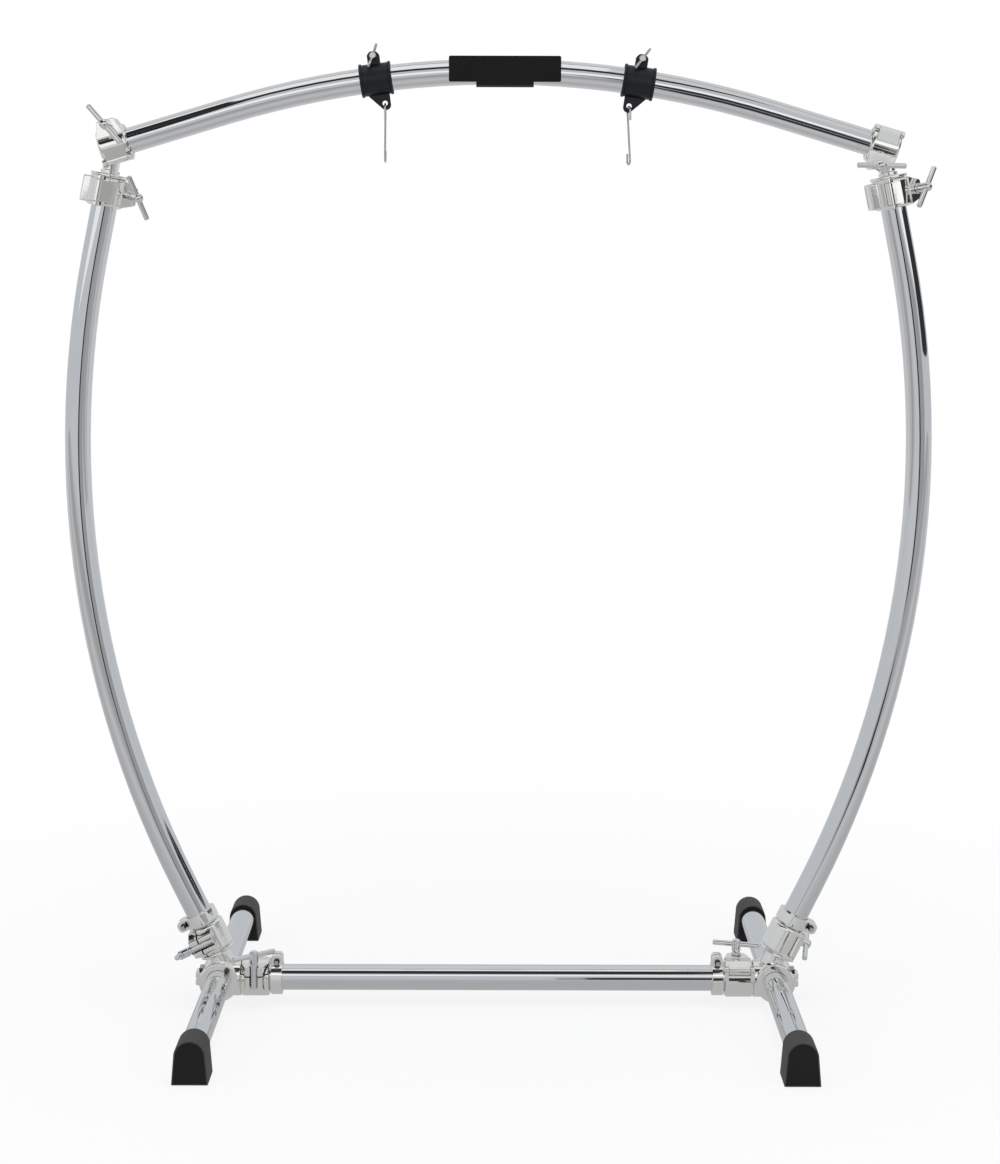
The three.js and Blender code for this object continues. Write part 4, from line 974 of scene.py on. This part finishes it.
def stage_panel(name, middle, size, normal, material):
    """A flat card or floor of the stage, centred on a point and facing one way"""
    bm = bmesh.new()
    bmesh.ops.create_grid(bm, x_segments=1, y_segments=1, size=0.5)
    bmesh.ops.scale(bm, verts=bm.verts, vec=(size[0], size[1], 1))
    facing = Vector(normal).to_track_quat("Z", "Y").to_matrix().to_4x4()
    bm.transform(Matrix.Translation(middle) @ facing)
    mesh = bpy.data.meshes.new(name)
    bm.to_mesh(mesh)
    bm.free()
    card = bpy.data.objects.new(name, mesh)
    scene.collection.objects.link(card)
    mesh.materials.append(material)
    return card


floor_material, nodes, links = stage_material("Floor")
floor_output = nodes.new("ShaderNodeOutputMaterial")
paper = nodes.new("ShaderNodeBsdfDiffuse")
paper.inputs["Color"].default_value = (0.8, 0.8, 0.8, 1)
white = nodes.new("ShaderNodeEmission")
white.inputs["Color"].default_value = (1, 1, 1, 1)
blend = nodes.new("ShaderNodeMixShader")
seen = nodes.new("ShaderNodeLightPath")
spot = nodes.new("ShaderNodeTexCoord")
distance = nodes.new("ShaderNodeVectorMath")
distance.operation = "LENGTH"
fade = nodes.new("ShaderNodeMapRange")
fade.inputs["From Min"].default_value = 0.3
fade.inputs["From Max"].default_value = 1.5
fade.inputs["To Min"].default_value = 0.82
fade.inputs["To Max"].default_value = 1.0
only_seen = nodes.new("ShaderNodeMath")
only_seen.operation = "MULTIPLY"
# In reflections the floor is an emission in grey bands from front to back, painted light and shade,
# instead of the lit paper.
mirrored = nodes.new("ShaderNodeEmission")
in_mirror = nodes.new("ShaderNodeMixShader")
parts = nodes.new("ShaderNodeSeparateXYZ")
depth = nodes.new("ShaderNodeMapRange")
depth.inputs["From Min"].default_value = -7.0
depth.inputs["From Max"].default_value = 2.0
painted_floor_tones = nodes.new("ShaderNodeValToRGB")
for at, value in PAINTED_FLOOR_REFLECTION_TONES:
    stop = painted_floor_tones.color_ramp.elements.new(at)
    stop.color = (value, value * 1.01, value * 1.03, 1)
painted_floor_tones.color_ramp.elements.remove(painted_floor_tones.color_ramp.elements[0])
painted_floor_tones.color_ramp.elements.remove(painted_floor_tones.color_ramp.elements[-1])
links.new(spot.outputs["Object"], parts.inputs[0])
links.new(parts.outputs["Y"], depth.inputs["Value"])
links.new(depth.outputs["Result"], painted_floor_tones.inputs["Fac"])
links.new(painted_floor_tones.outputs["Color"], mirrored.inputs["Color"])
links.new(spot.outputs["Object"], distance.inputs[0])
links.new(distance.outputs["Value"], fade.inputs["Value"])
links.new(fade.outputs["Result"], only_seen.inputs[0])
links.new(seen.outputs["Is Camera Ray"], only_seen.inputs[1])
links.new(only_seen.outputs["Value"], blend.inputs["Fac"])
links.new(paper.outputs["BSDF"], blend.inputs[1])
links.new(white.outputs["Emission"], blend.inputs[2])
links.new(seen.outputs["Is Glossy Ray"], in_mirror.inputs["Fac"])
links.new(blend.outputs["Shader"], in_mirror.inputs[1])
links.new(mirrored.outputs["Emission"], in_mirror.inputs[2])
links.new(in_mirror.outputs["Shader"], floor_output.inputs["Surface"])
stage_panel("Floor", (0, 0, -0.0005), (24, 24), (0, 0, 1), floor_material)


def card_material(name, value):
    """Plain card of one brightness"""
    material, nodes, links = stage_material(name)
    shader = nodes.new("ShaderNodeEmission")
    shader.inputs["Color"].default_value = (value, value, value, 1)
    links.new(shader.outputs["Emission"], nodes.new("ShaderNodeOutputMaterial").inputs["Surface"])
    return material


black_card = card_material("Black card", 0.02)
dark_card = card_material("Dark card", 0.035)
shade_card = card_material("Shade card", 0.36)
grey_card = card_material("Grey card", 0.3)
white_card = card_material("White card", 1.05)
bright_card = card_material("Bright card", 0.95)
pale_card = card_material("Pale card", 0.7)
cards = [
    stage_panel("White strip above the camera", (0, -2.5, 1.8), (9, 0.7), (0, 1, 0), white_card),
    stage_panel("Slanted dark screen", (-0.52, -2.05, 3.05), (2.55, 3.6), (0, 0.523, 0.852), dark_card),
    stage_panel("White card on the left", (-2.6, -2.2, 1.65), (3.4, 0.75), (0, 1, 0), bright_card),
    stage_panel("Low black screen on the left", (-2.8, -2.2, 2.515), (3.5, 0.97), (0, 1, 0), black_card),
    stage_panel("Dark screen at the right end", (3.2, 0, 1.6), (3.2, 1.1), (-1, 0, 0), dark_card),
    stage_panel("High black screen on the left", (-3.9, -2.2, 4.0), (4.2, 2.0), (0, 1, 0), black_card),
    stage_panel("Black screen over the left", (-3.95, -1.5, 5.0), (4.1, 1.4), (0, 0, -1), black_card),
    stage_panel("Black screen at the left end", (-4.15, 0.35, 5.0), (3.7, 2.3), (0, 0, -1), black_card),
    stage_panel("Ceiling in front", (-0.475, -0.85, 4.2), (2.15, 2.1), (0, 0, -1), bright_card),
    stage_panel("Ceiling at the left", (-1.825, -0.25, 4.2), (0.55, 0.9), (0, 0, -1), bright_card),
    stage_panel("Ceiling at the right", (3.0, -0.85, 4.2), (4.8, 2.1), (0, 0, -1), pale_card),
    stage_panel("Ceiling gap", (0, 0.38, 4.2), (8.0, 0.28), (0, 0, -1), grey_card),
    stage_panel("Ceiling behind", (0, 3.0, 4.2), (8.0, 4.8), (0, 0, -1), pale_card),
    stage_panel("Shade on the right", (2.6, -4.6, 0.7), (4.8, 1.4), (0, 1, 0), shade_card),
    stage_panel("Figure behind the camera", (0.7, -4.4, 0.7), (0.8, 1.4), (0, 1, 0), dark_card),
    stage_panel("Runner in front", (0.45, -2.6, 0.004), (0.6, 1.9), (0, 0, 1), dark_card),
]
for card in cards:
    card.visible_camera = False
    card.visible_shadow = False
    card.visible_diffuse = False
    card.visible_transmission = False

for name, place, size, power in (
    ("Left lamp", (-3.2, -2.4, 1.9), 1.6, 26),
    ("Right lamp", (3.2, -2.6, 1.7), 1.6, 20),
    ("Top lamp", (0.2, -0.6, 3.9), 2.4, 44),
    ("Front lamp", (0.3, -4.2, 2.6), 1.8, 22),
):
    lamp = bpy.data.lights.new(name, "AREA")
    lamp.shape = "SQUARE"
    lamp.size = size
    lamp.energy = power
    lamp_object = bpy.data.objects.new(name, lamp)
    lamp_object.location = place
    lamp_object.rotation_euler = (LAMP_AIM - Vector(place)).to_track_quat("-Z", "Y").to_euler()
    lamp_object.visible_glossy = False
    scene.collection.objects.link(lamp_object)

world = bpy.data.worlds.new("Studio")
scene.world = world
world.use_nodes = True
nodes, links = world.node_tree.nodes, world.node_tree.links
room = nodes["Background"]
room.inputs["Color"].default_value = (0.92, 0.96, 1.0, 1)
room.inputs["Strength"].default_value = 0.64
backdrop = nodes.new("ShaderNodeBackground")
backdrop.inputs["Color"].default_value = (1, 1, 1, 1)
backdrop.inputs["Strength"].default_value = 1.0
room_seen = nodes.new("ShaderNodeLightPath")
choice = nodes.new("ShaderNodeMixShader")
links.new(room_seen.outputs["Is Camera Ray"], choice.inputs["Fac"])
links.new(room.outputs["Background"], choice.inputs[1])
links.new(backdrop.outputs["Background"], choice.inputs[2])
links.new(choice.outputs["Shader"], nodes["World Output"].inputs["Surface"])

# Camera: just right of the middle, a little below the corner clamps and tipped slightly
# down, with its picture shifted down to keep the stand in the middle.
camera_data = bpy.data.cameras.new("Camera")
camera_data.lens = 66.6
camera_data.shift_x = -0.004
camera_data.shift_y = -0.1636
camera = bpy.data.objects.new("Camera", camera_data)
camera.location = (0.0086, -3.21, 1.16)
camera.rotation_euler = (radians(90 - 4.05), radians(-0.15), 0)
scene.collection.objects.link(camera)
scene.camera = camera
